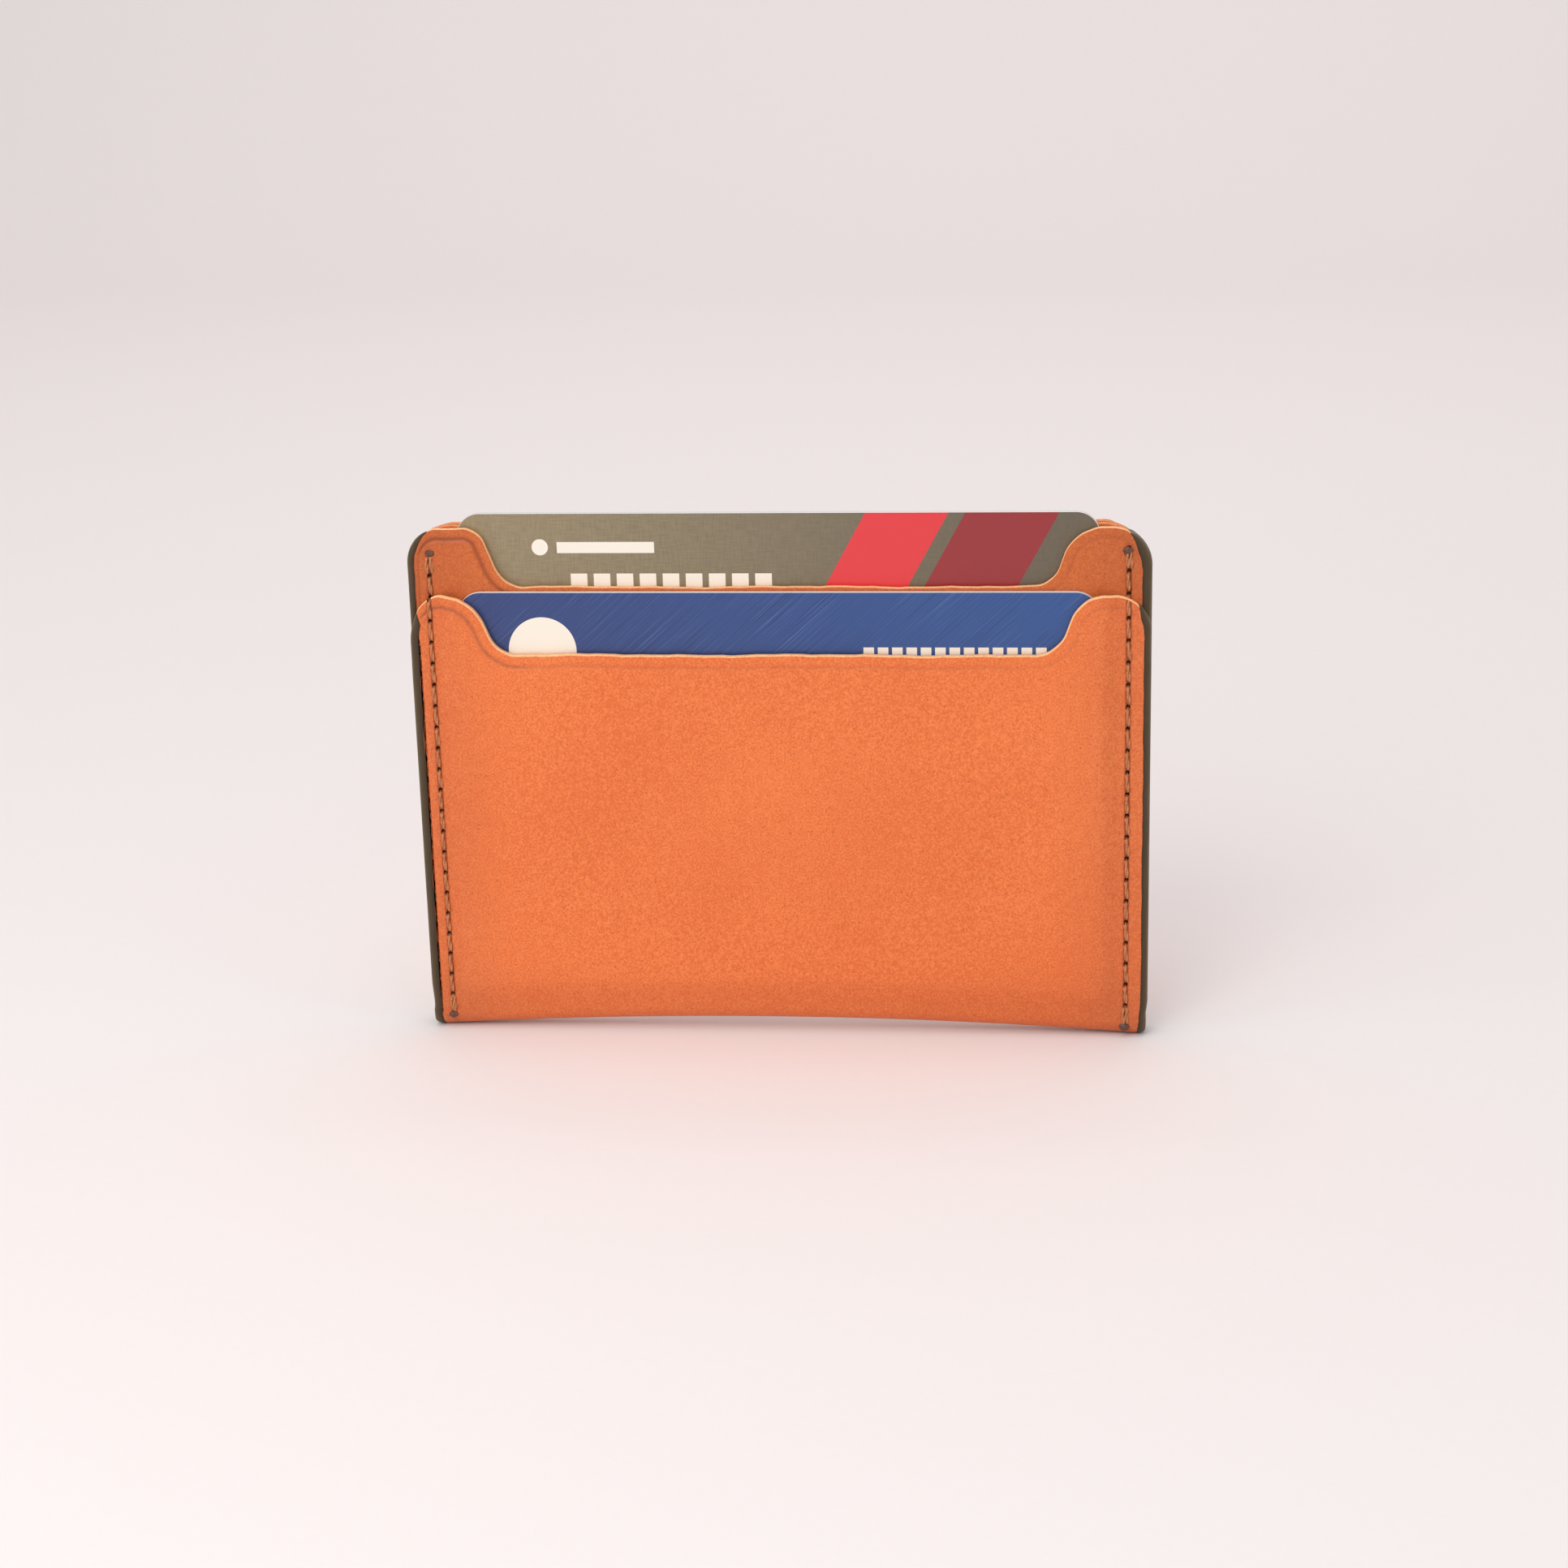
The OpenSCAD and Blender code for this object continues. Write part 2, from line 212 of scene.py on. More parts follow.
class Finish(Nodes):
    """A material, over its piece's own coordinates in millimetres."""

    def __init__(self, name):
        self.made = bpy.data.materials.new(name)
        self.made.use_nodes = True
        super().__init__(self.made.node_tree)
        place = self.add("ShaderNodeTexCoord", out="Object")
        self.at = self.add("ShaderNodeVectorMath", {0: place, 3: 1 / MM}, operation="SCALE")
        self.x, self.y, self.z = self.add("ShaderNodeSeparateXYZ", {0: self.at}).node.outputs

    def noise(self, size_mm, detail=3.0, rough=0.5, at=None):
        """Noise with features of about size_mm."""
        return self.add("ShaderNodeTexNoise", {"Vector": self.at if at is None else at,
                                               "Scale": 1 / size_mm, "Detail": detail, "Roughness": rough})

    def drawn(self, packed, size_mm, detail, rough=0.5, at=None):
        """Noise drawn out into lines: packed is how close it is packed along x, y and z."""
        at = self.at if at is None else at
        drawn = self.add("ShaderNodeMapping", {"Vector": at, "Scale": packed})
        return self.noise(size_mm, detail, rough, drawn)

    def mix(self, share, a, b):
        return self.add("ShaderNodeMix", {0: share, 6: a, 7: b}, 2, data_type="RGBA")

    def two_tone(self, pattern, low, high, a, b):
        """Colour a where the pattern is under low, b where it is over high."""
        return self.mix(self.ramp(pattern, low, high), a, b)

    def inside(self, value, low, high):
        """1 where value lies between low and high, else 0."""
        return self.times(self.maths("GREATER_THAN", value, low), self.maths("LESS_THAN", value, high))

    def block(self, x0, x1, z0, z1):
        return self.times(self.inside(self.x, x0, x1), self.inside(self.z, z0, z1))

    def blocks(self, step, starts, ends, *box):
        """A row of blocks in a box, each a step wide and filled from one share of it to another."""
        place = self.maths("FRACT", self.maths("DIVIDE", self.x, step))
        return self.times(self.block(*box), self.inside(place, starts, ends))

    def length(self, a, b):
        return self.maths("SQRT", self.plus(self.times(a, a), self.times(b, b)))

    def disc(self, x, z, radius):
        away = self.length(self.minus(self.x, x), self.minus(self.z, z))
        return self.maths("LESS_THAN", away, radius)

    def done(self, colour, rough, height=None, deep_mm=0.0, strength=1.0, more=None):
        """Sets the shader's colour, roughness and bump, and more of its inputs by name."""
        shader = self.tree.nodes["Principled BSDF"]
        self.feed(shader, {"Base Color": colour, "Roughness": rough, **(more or {})})
        if height is not None:
            relief = {"Height": height, "Distance": deep_mm * MM, "Strength": strength}
            self.feed(shader, {"Normal": self.add("ShaderNodeBump", relief)})
        return self.made


# ---------------------------------------------------------------- materials


def tanned_grain(name, light, deep, pore_wear_and_shade_tone, groove_shade_tone):
    """Vegetable-tanned cowhide, grain side, dyed through, oiled and glazed by hand.

    The eye sees an even orange, salted with light and dark grain a quarter of a millimetre wide
    and with scattered dark pores, a soft gloss, and darker leather along the creases and round the
    holes. Towards the seams it is darker, partly from handling and partly as painted shade, and
    towards the fold at the bottom it is darker as painted shade. The band beside the thread, in the
    channel that the stitches lie in, is darkened as painted shade of that groove.
    """
    hide = Finish(name)
    wear_and_shade = hide.add("ShaderNodeAttribute", out="Fac", attribute_name="wear_and_shade")
    cloud = hide.ramp(hide.noise(26.0, 2.0), 0.35, 0.65, 0.0, 0.25)
    grain = hide.noise(0.27, 2.0, 0.6)
    salt = hide.ramp(grain, 0.34, 0.66, 0.0, 0.85)
    clump = hide.ramp(hide.noise(1.1, 2.0), 0.35, 0.65, 0.0, 0.2)
    base = hide.mix(hide.maths("ADD", cloud, hide.maths("ADD", salt, clump), True), light, deep)
    cells = hide.add("ShaderNodeTexVoronoi", {"Vector": hide.at, "Scale": 1 / 0.75}).node.outputs
    some = hide.add("ShaderNodeSeparateXYZ", {0: cells["Color"]})
    near = hide.maths("LESS_THAN", cells["Distance"], 0.17)
    pore = hide.times(near, hide.maths("GREATER_THAN", some, 0.66))
    pored = hide.mix(hide.times(pore, 0.42), base, pore_wear_and_shade_tone)
    # Darker along creases, round the holes and from handling, and as painted shade towards the seams and the
    # fold.
    dark = hide.mix(wear_and_shade, pored, pore_wear_and_shade_tone)
    # Painted shade: the leather beside each stitch row is darkened to stand for the shadow in the groove
    # that the thread lies in.
    from_row = hide.size_of(hide.minus(hide.size_of(hide.x), ROW_X))
    channel = hide.times(hide.ramp(from_row, CHANNEL_HALF, CHANNEL_HALF - 0.12, 0.0, 0.75),
                         hide.inside(hide.z, CHANNEL_FOOT, TOP - FIRST_DROP - 0.9))
    waxed = hide.mix(channel, dark, groove_shade_tone)
    rough = hide.ramp(hide.noise(3.0, 4.0), 0.3, 0.7, 0.44, 0.56)
    pebble = hide.add("ShaderNodeTexVoronoi", {"Vector": hide.at, "Scale": 1 / 0.48}, feature="SMOOTH_F1")
    skin = hide.minus(hide.plus(hide.times(pebble, 0.45), grain), hide.times(pore, 0.4))
    return hide.done(waxed, rough, skin, 0.07, 0.6, {
        "Specular IOR Level": 0.42, "Sheen Weight": 0.05, "Sheen Roughness": 0.4})


def cut_edge_leather(name, light, deep):
    """The knife-cut rim of the same hide, lightly sanded.

    It shows the pale, undyed fibre core, so each pocket mouth reads as a thin light line. The
    rims at the back were waxed too, and read as thin orange lines.
    """
    rim = Finish(name)
    fibre = rim.noise(0.35, 4.0, 0.7)
    return rim.done(rim.two_tone(fibre, 0.35, 0.7, light, deep), 0.7, fibre, 0.05, 0.6)


def flesh_side_leather():
    """The hide's flesh side, shaved and boned but not glazed: a dull, napped tan."""
    hide = Finish("flesh_side_leather")
    nap = hide.noise(0.4, 5.0, 0.7)
    colour = hide.two_tone(nap, 0.3, 0.7, "#C07A4C", "#A86238")
    return hide.done(colour, 0.9, nap, 0.08, 0.7, {"Sheen Weight": 0.25})


def burnished_edge_wax():
    """Leather edge, dyed olive brown, waxed and rubbed hard with a wooden slicker.

    It is smooth and half glossy, greener on the crown of the edge and brown at its root,
    with faint lines along it where the layers meet. The lighter crown is a painted highlight, and the darker
    root is painted shade.
    """
    coat = Finish("burnished_edge_wax")
    crown = coat.add("ShaderNodeAttribute", out="Fac", attribute_name="crown")
    rubbed = coat.drawn((1.0, 1.0, 0.12), 0.5, 4.0, 0.6)
    # Painted light: lighter towards the edge's crown, darker towards its root.
    colour = coat.mix(crown, "#38260F", "#705C3E")
    colour = coat.mix(coat.ramp(rubbed, 0.3, 0.75, 0.0, 0.45), colour, "#2F281A")
    layer = coat.maths("FRACT", coat.maths("DIVIDE", coat.plus(coat.y, SEAM), LEATHER + GLUE))
    joint = coat.ramp(coat.size_of(coat.minus(layer, 0.5)), 0.42, 0.5, 0.0, 0.35)
    colour = coat.mix(joint, colour, "#332A1D")
    rough = coat.ramp(rubbed, 0.3, 0.7, 0.38, 0.55)
    return coat.done(colour, rough, rubbed, 0.04, 0.5, {"Specular IOR Level": 0.35})


def waxed_linen_thread():
    """Two-ply linen thread drawn through brown wax: fibres along each ply, and a dull wax shine."""
    thread = Finish("waxed_linen_thread")
    fibre = thread.noise(0.12, 3.0, 0.6)
    colour = thread.two_tone(fibre, 0.35, 0.65, "#DD9260", "#AC6335")
    colour = thread.mix(thread.ramp(thread.noise(0.8, 2.0), 0.45, 0.7, 0.0, 0.4), colour, "#874820")
    return thread.done(colour, 0.5, fibre, 0.05, 0.7)


def singed_thread_end():
    """Thread end melted and pressed flat with a hot tool: dark, lumpy and half glossy."""
    knot = Finish("singed_thread_end")
    lumps = knot.noise(0.25)
    return knot.done(knot.two_tone(lumps, 0.35, 0.7, "#4A2A1C", "#7A5140"), 0.5, lumps, 0.06, 0.8)


def awl_hole_wall():
    """Wall of a punched stitch hole, coloured nearly black as painted shade inside the deep, narrow hole."""
    wall = Finish("awl_hole_wall")
    return wall.done(wall.mix(wall.noise(0.2, 2.0), "#2A0C06", "#4A1D10"), 0.8)


def dried_cement():
    """Contact cement, brushed on and dried: a cloudy amber rubber film."""
    film = Finish("dried_contact_cement")
    cloud = film.noise(1.2)
    return film.done(film.mix(cloud, "#C99A5C", "#A8763E"), 0.55, cloud, 0.03, 0.4)


def plain_card_core():
    """White PVC core sheet of a laminated card, punched out, so its edge is pale and satin."""
    core = Finish("punched_pvc_core")
    drag = core.drawn((1, 8, 1), 0.6, 3.0)
    return core.done(core.two_tone(drag, 0.3, 0.7, "#E2DFDD", "#C4C4C8"), 0.4, drag, 0.02, 0.4)


def laminated(face, colour, metallic=0.0):
    """Ends a printed face: clear film over it, pressed between satin plates."""
    return face.done(colour, 0.34, face.noise(0.18, 2.0), 0.006, 0.5, {
        "Coat Weight": 0.25, "Coat Roughness": 0.2, "Metallic": metallic})


def punched_out(face, colour, low_z):
    """Leaves a thin white margin along the card's outline, where the punch has trimmed the film
    back to the core."""
    to_side = face.minus(face.size_of(face.x), CARD_EDGE - CARD_CORNER)
    to_end = face.size_of(face.minus(face.z, low_z + CARD_H / 2))
    to_end = face.minus(to_end, CARD_H / 2 - CARD_CORNER)
    reach = face.length(face.either(to_side, 0.0), face.either(to_end, 0.0))
    return face.mix(face.maths("GREATER_THAN", reach, CARD_CORNER - TRIM), colour, "#EFEDEA")


def front_card_print(low_z):
    """Blue foil-look print with fine slanting brush lines, a plain cream disc and plain blocks."""
    face = Finish("front_card_print")
    top = low_z + CARD_H
    turned = face.add("ShaderNodeMapping", {"Vector": face.at, "Rotation": (0, math.radians(-48), 0)})
    brushed = face.drawn((7.0, 1.0, 0.06), 1.0, 4.0, 0.6, turned)
    blue = face.two_tone(face.x, -40, 42, "#2C4078", "#2C5393")
    blue = face.mix(face.ramp(brushed, 0.46, 0.34, 0.0, 0.55), blue, "#162349")
    blue = face.mix(face.ramp(brushed, 0.58, 0.72, 0.0, 0.4), blue, "#7E97C6")
    cream = face.either(face.disc(-31.5, top - 8.0, 4.6),
                        face.blocks(1.9, 0.12, 0.86, 11.4, 36.1, top - 9.9, top - 7.5))
    return laminated(face, punched_out(face, face.mix(cream, blue, "#F6EEE0"), low_z), 0.15)


def rear_card_print(low_z):
    """Taupe linen-look print with two plain slanting red bands, a small dot and light bars."""
    face = Finish("rear_card_print")
    top = low_z + CARD_H
    weave = face.times(face.plus(face.drawn((5, 1, 0.5), 1.0, 2.0), face.drawn((0.5, 1, 5), 1.0, 2.0)), 0.5)
    taupe = face.two_tone(face.x, -42, 30, "#9E8E6C", "#6A604E")
    taupe = face.mix(face.ramp(weave, 0.36, 0.64, 0.0, 0.35), taupe, "#4F493D")
    across = face.minus(face.x, face.times(face.minus(face.z, top), 0.55))
    banded = face.mix(face.inside(across, 12.0, 23.0), taupe, "#E0343A")
    banded = face.mix(face.inside(across, 25.2, 37.5), banded, "#96262B")
    light = face.either(face.disc(-31.6, top - 4.6, 1.1), face.block(-29.3, -16.2, top - 5.4, top - 3.9))
    light = face.either(light, face.blocks(3.1, 0.1, 0.82, -27.9, 0.0, top - 11.2, top - 8.2))
    return laminated(face, punched_out(face, face.mix(light, banded, "#F3ECDF"), low_z))


def card_back_print():
    """Plain pale grey print on a card's back, faintly clouded."""
    face = Finish("card_back_print")
    return laminated(face, face.two_tone(face.noise(9.0, 2.0), 0.35, 0.65, "#C9CDD6", "#B6BAC4"))


def plated_contacts(name, bright, dull):
    """Gold or palladium plating on a chip's contact plate, finely brushed."""
    plate = Finish(name)
    lines = plate.drawn((0.2, 1, 6), 0.5, 3.0)
    rough = plate.ramp(lines, 0.3, 0.7, 0.22, 0.36)
    return plate.done(plate.two_tone(lines, 0.3, 0.7, bright, dull), rough, more={"Metallic": 1.0})


def chip_tape():
    """Glass-fibre tape that carries a chip's contacts: near-black green, matt, finely woven."""
    tape = Finish("glass_fibre_chip_tape")
    return tape.done(tape.mix(tape.noise(0.2, 2.0), "#1B1F1A", "#2C3128"), 0.6)


def magnetic_tape():
    """Magnetic tape pressed into the card: near-black brown, satin, with fine scratches along it."""
    tape = Finish("magnetic_tape")
    scratch = tape.drawn((0.05, 1, 6), 0.6, 4.0)
    rough = tape.ramp(scratch, 0.3, 0.7, 0.3, 0.45)
    return tape.done(tape.two_tone(scratch, 0.45, 0.75, "#1F1A18", "#3A322E"), rough)


def writing_panel():
    """Matt white panel, printed so that a pen takes on it, with a faint ruled tint."""
    panel = Finish("matt_writing_panel")
    ruled = panel.maths("FRACT", panel.maths("DIVIDE", panel.z, 1.5))
    colour = panel.mix(panel.inside(ruled, 0.0, 0.3), "#F3F1EA", "#DEE2E4")
    return panel.done(colour, 0.85, panel.noise(0.15, 2.0), 0.02, 0.5)


def studio_paper():
    """Pale, seamless background paper."""
    paper = Finish("studio_paper")
    colour = paper.mix(paper.noise(1.5), "#EDE7E5", "#EBE5E3")
    return paper.done(colour, 0.95, more={"Specular IOR Level": 0.1})


# Each leather's last two colours are its darker tone, for pores, wear and painted shade, and the painted
# shade of the groove beside the thread.
outer_grain = tanned_grain("glazed_veg_tan_outer", "#F88A4A", "#E06A30", "#9A5030", "#8C3C1C")
# A darker copy of the same leather for the panels behind the front: the darker tone is painted shade.
pocket_grain_shaded = tanned_grain("glazed_veg_tan_pocket", "#DC783A", "#C65F28", "#8F3F1B", "#7C3216")
cut_edge = cut_edge_leather("cut_edge_leather", "#FFCB94", "#EFA066")
waxed_edge = cut_edge_leather("waxed_cut_edge_leather", "#F0995E", "#C96C3A")
flesh_side = flesh_side_leather()
edge_wax = burnished_edge_wax()
thread_linen = waxed_linen_thread()
singed = singed_thread_end()
# Nearly black hole walls: painted shade inside the deep awl holes.
hole_shade = awl_hole_wall()

# ---------------------------------------------------------------- mesh helpers


def smooth(t):
    t = np.clip(t, 0.0, 1.0)
    return t * t * (3 - 2 * t)


def finish_mesh(name, points, faces, body, materials, indices=None, attributes=None, smooth_shade=True):
    """Makes a shown piece from points in millimetres, and puts it on its body."""
    mesh = bpy.data.meshes.new(name)
    mesh.from_pydata([tuple(p) for p in np.asarray(points) * MM], [], faces)
    for material in materials:
        mesh.materials.append(material)
    if indices is not None:
        mesh.polygons.foreach_set("material_index", np.asarray(indices, dtype=np.int32))
    for key, values in (attributes or {}).items():
        layer = mesh.attributes.new(key, "FLOAT", "POINT")
        layer.data.foreach_set("value", np.asarray(values, dtype=np.float32))
    mesh.polygons.foreach_set("use_smooth", [smooth_shade] * len(mesh.polygons))
    mesh.update()
    made = bpy.data.objects.new(name, mesh)
    bpy.context.scene.collection.objects.link(made)
    if body:
        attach(made, body)
    return made


def loft(rings, closed=True):
    """Points and quads of a skin through rings of equal length. The ends are capped if closed."""
    rings = np.asarray(rings)
    count, size = rings.shape[:2]
    faces = []
    for i in range(count - 1):
        for j in range(size):
            k = (j + 1) % size
            faces.append((i * size + j, i * size + k, (i + 1) * size + k, (i + 1) * size + j))
    if closed:
        faces.append(tuple(range(size - 1, -1, -1)))
        faces.append(tuple((count - 1) * size + j for j in range(size)))
    return rings.reshape(-1, 3), faces


def outward(obj):
    """Recalculates the normals of a closed piece."""
    work = bmesh.new()
    work.from_mesh(obj.data)
    bmesh.ops.recalc_face_normals(work, faces=work.faces)
    work.to_mesh(obj.data)
    work.free()


class Tool(Nodes):
    """A Geometry Nodes group. inputs maps each input's name to its socket type."""

    def __init__(self, name, inputs):
        super().__init__(bpy.data.node_groups.new(name, "GeometryNodeTree"))
        sockets = self.tree.interface
        sockets.new_socket("Geometry", in_out="INPUT", socket_type="NodeSocketGeometry")
        sockets.new_socket("Geometry", in_out="OUTPUT", socket_type="NodeSocketGeometry")
        for key, kind in inputs.items():
            sockets.new_socket(key, in_out="INPUT", socket_type="NodeSocket" + kind)
        entry = self.tree.nodes.new("NodeGroupInput")
        self.given = {socket.name: socket for socket in entry.outputs if socket.name}

    def vector(self, x, y, z):
        return self.add("ShaderNodeCombineXYZ", {0: x, 1: y, 2: z})

    def join(self, *parts):
        made = self.tree.nodes.new("GeometryNodeJoinGeometry")
        for part in parts:
            self.tree.links.new(part, made.inputs[0])
        return made.outputs[0]

    def moved(self, shape, **how):
        return self.add("GeometryNodeTransform", {0: shape, **how})

    def random(self, low, high):
        return self.add("FunctionNodeRandomValue", {0: low, 1: high, "Seed": self.given["Seed"]},
                        data_type="FLOAT_VECTOR")

    def down_the_row(self):
        """A point at each hole of a row."""
        step = self.vector(0.0, 0.0, self.times(self.given["Pitch"], -1.0))
        return self.add("GeometryNodeMeshLine", {
            "Count": self.given["Count"], "Start Location": self.given["Start"], "Offset": step})

    def copies(self, points, shape, **how):
        """A real copy of the shape at every point."""
        placed = self.add("GeometryNodeInstanceOnPoints", {0: points, "Instance": shape, **how})
        return self.add("GeometryNodeRealizeInstances", {0: placed})

    def mark(self, geometry, mark):
        """Marks all the faces of new geometry, so that they can be told from the rest later."""
        return self.add("GeometryNodeStoreNamedAttribute", {0: geometry, "Name": mark, "Value": True},
                        data_type="BOOLEAN", domain="FACE")

    def paint_and_end(self, geometry, mark, material):
        """Makes any instances real, then gives the marked faces their material."""
        real = self.add("GeometryNodeRealizeInstances", {0: geometry})
        marked = self.add("GeometryNodeInputNamedAttribute", {"Name": mark}, data_type="BOOLEAN")
        painted = self.add("GeometryNodeSetMaterial", {0: real, "Selection": marked, "Material": material})
        leave = self.tree.nodes.new("NodeGroupOutput")
        self.tree.links.new(painted, leave.inputs[0])
        return self.tree


def run_nodes(obj, group, values):
    """Runs a Geometry Nodes group on obj and keeps the result as plain mesh."""
    modifier = obj.modifiers.new(group.name, "NODES")
    modifier.node_group = group
    for socket in group.interface.items_tree:
        if socket.item_type == "SOCKET" and socket.name in values:
            modifier[socket.identifier] = values[socket.name]
    graph = bpy.context.evaluated_depsgraph_get()
    ready = obj.evaluated_get(graph)
    mesh = bpy.data.meshes.new_from_object(ready, preserve_all_data_layers=True, depsgraph=graph)
    obj.modifiers.remove(modifier)
    old, obj.data = obj.data, mesh
    bpy.data.meshes.remove(old)


# ---------------------------------------------------------------- leather panels


def fold_line(x):
    """Height of the bowed fold's underside at x."""
    arc = FOLD_BOW - FOLD_R + np.sqrt(FOLD_R ** 2 - x ** 2)
    beyond = np.clip(np.abs(x) - FOLD_REACH, 0.0, LOWER_CORNER)
    return arc + LOWER_CORNER - np.sqrt(LOWER_CORNER ** 2 - beyond ** 2)


def side_share(x):
    """0 in the seams and 1 over the card, with a soft bend between them."""
    return smooth((BEND_OUT - np.abs(x)) / (BEND_OUT - BEND_IN))


def height_share(z, bend, rise=0.0):
    return smooth((z - rise - bend[0]) / (bend[1] - bend[0]))


def crown_share(x, z, low, high):
    """A broad swell, greatest in the middle of a panel."""
    across = np.clip(1 - (x / BEND_IN) ** 2, 0.0, 1.0)
    up = np.clip(1 - ((z - (low + high) / 2) / ((high - low) / 2)) ** 2, 0.0, 1.0)
    return across * (0.35 + 0.65 * up)


def corner_point(ear, turn, top, inset=0.0):
    """A point on an ear's outer corner, from its side (turn 0) to its top (turn 1)."""
    wide, tall = ear[0], ear[1]
    angle = math.pi * (1 - turn / 2)
    return (wide + (wide - inset) * math.cos(angle), top - tall + (tall - inset) * math.sin(angle))


def wax_depth(ear, turn):
    """The edge coat's depth at a place on the corner."""
    full, starts, ends = ear[5:]
    return full * (1 - smooth((turn - starts) / (ends - starts)))


def ear_outline(ear, top):
    """An ear from its outer side to the mouth: points, with x from the outer edge, and the
    directions into the leather."""
    wide, tall, flat_to, hump, hollow = ear[:5]
    points, inward = [], []
    for turn in np.linspace(0.0, 1.0, 27)[:-1]:
        points.append(corner_point(ear, turn, top, wax_depth(ear, turn)))
        inward.append((0.0, -1.0))
    for x in np.linspace(wide, flat_to, 6)[:-1]:
        points.append((x, top))
        inward.append((0.0, -1.0))
    for angle in np.linspace(math.pi / 2, LEAN, 25)[:-1]:
        points.append((flat_to + hump * math.cos(angle), top - hump + hump * math.sin(angle)))
        inward.append((-math.cos(angle), -math.sin(angle)))
    straight = (EAR_H - (hump + hollow) * (1 - math.sin(LEAN))) / math.cos(LEAN)
    hollow_x = flat_to + (hump + hollow) * math.cos(LEAN) + straight * math.sin(LEAN)
    for angle in np.linspace(math.pi + LEAN, 1.5 * math.pi, 21)[:-1]:
        points.append((hollow_x + hollow * math.cos(angle), top - EAR_H + hollow + hollow * math.sin(angle)))
        inward.append((math.cos(angle), math.sin(angle)))
    for x in np.linspace(hollow_x, HALF_W, 30)[:-1]:
        points.append((x, top - EAR_H))
        inward.append((0.0, -1.0))
    return np.array(points), np.array(inward)


def top_edge(ears, top, wobble_seed):
    """The whole top edge, left to right, with the small wander of a hand-guided knife."""
    left, left_in = ear_outline(ears[0], top)
    right, right_in = ear_outline(ears[1], top)
    flip = np.array([-1.0, 1.0])
    shift = np.array([HALF_W, 0.0])
    points = np.vstack([left - shift, [[0.0, top - EAR_H]], (right[::-1] - shift) * flip])
    inward = np.vstack([left_in, [[0.0, -1.0]], right_in[::-1] * flip])
    own = np.random.default_rng(wobble_seed)
    wander = np.zeros(len(points))
    for size, wave in ((0.07, 31.0), (0.05, 13.0), (0.035, 5.0), (0.02, 2.1)):
        wander += size * np.sin(points[:, 0] / wave * 2 * math.pi + own.uniform(0, 6.3))
    free = smooth((HALF_W - 4.0 - np.abs(points[:, 0])) / 2.0)
    points = points - inward * (wander * free)[:, None]
    return points, inward


PANEL_H = 55.0                           # about a panel's height, for spacing its rows of points
GRAIN, RIM, FLESH, BACK_RIM = 0, 1, 2, 3     # kinds of face
# Distances in from the cut edge of the rows that follow it
BAND = np.array([0.0, 0.03, 0.09, 0.2, 0.4, 0.7, 1.05, 1.3, 1.46, 1.56, 1.65, 1.75,
                 1.85, 1.94, 2.04, 2.15, 2.35, 2.6])
ROUNDED = int((BAND < EDGE_ROUND).sum())     # how many of them lie on the rounded arris


def rows_up(foot_h, foot_step, step):
    """Shares from 0 to 1 up a panel, with steps of their own up to foot_h."""
    heights = [0.0]
    while heights[-1] < PANEL_H:
        heights.append(heights[-1] + (foot_step if heights[-1] <= foot_h else step))
    heights = np.array(heights)
    return heights / heights[-1]


class Sheet:
    """One leather panel's face, as rows of points up its columns."""

    def __init__(self, layer, top, seed, depth, details, foot, rows, out):
        self.edge, self.inward = top_edge(EARS[layer], top, seed)
        self.depth, self.details, self.foot, self.rows, self.out = depth, details, foot, rows, out

    def column(self, i, fine=True):
        """Points of one column, foot to top edge, and how much darker the leather is at each, from wear and
        from painted shade.
        """
        point, inward = self.edge[i], self.inward[i]
        band = BAND[::-1] if fine else BAND[::-3]
        band_x = point[0] + inward[0] * band
        band_z = point[1] + inward[1] * band
        foot = self.foot(band_x[0])
        share = self.rows[:-1] if fine else self.rows[:-1:4]
        low_z = foot + (band_z[0] - foot) * share
        x = np.concatenate([np.full(len(share), band_x[0]), band_x])
        z = np.concatenate([low_z, band_z])
        inset = np.concatenate([np.full(len(share), 9.0), band])
        y = self.depth(x, z)
        near = np.clip(1 - inset / EDGE_ROUND, 0.0, 1.0)
        y = y - self.out * EDGE_ROUND * (1 - np.sqrt(1 - near ** 2))
        wear_and_shade = np.zeros(len(x))
        if self.details:
            dip, wear_and_shade = self.details(x, z, inset)
            y = y - self.out * dip
        return np.stack([x, y, z], 1), wear_and_shade


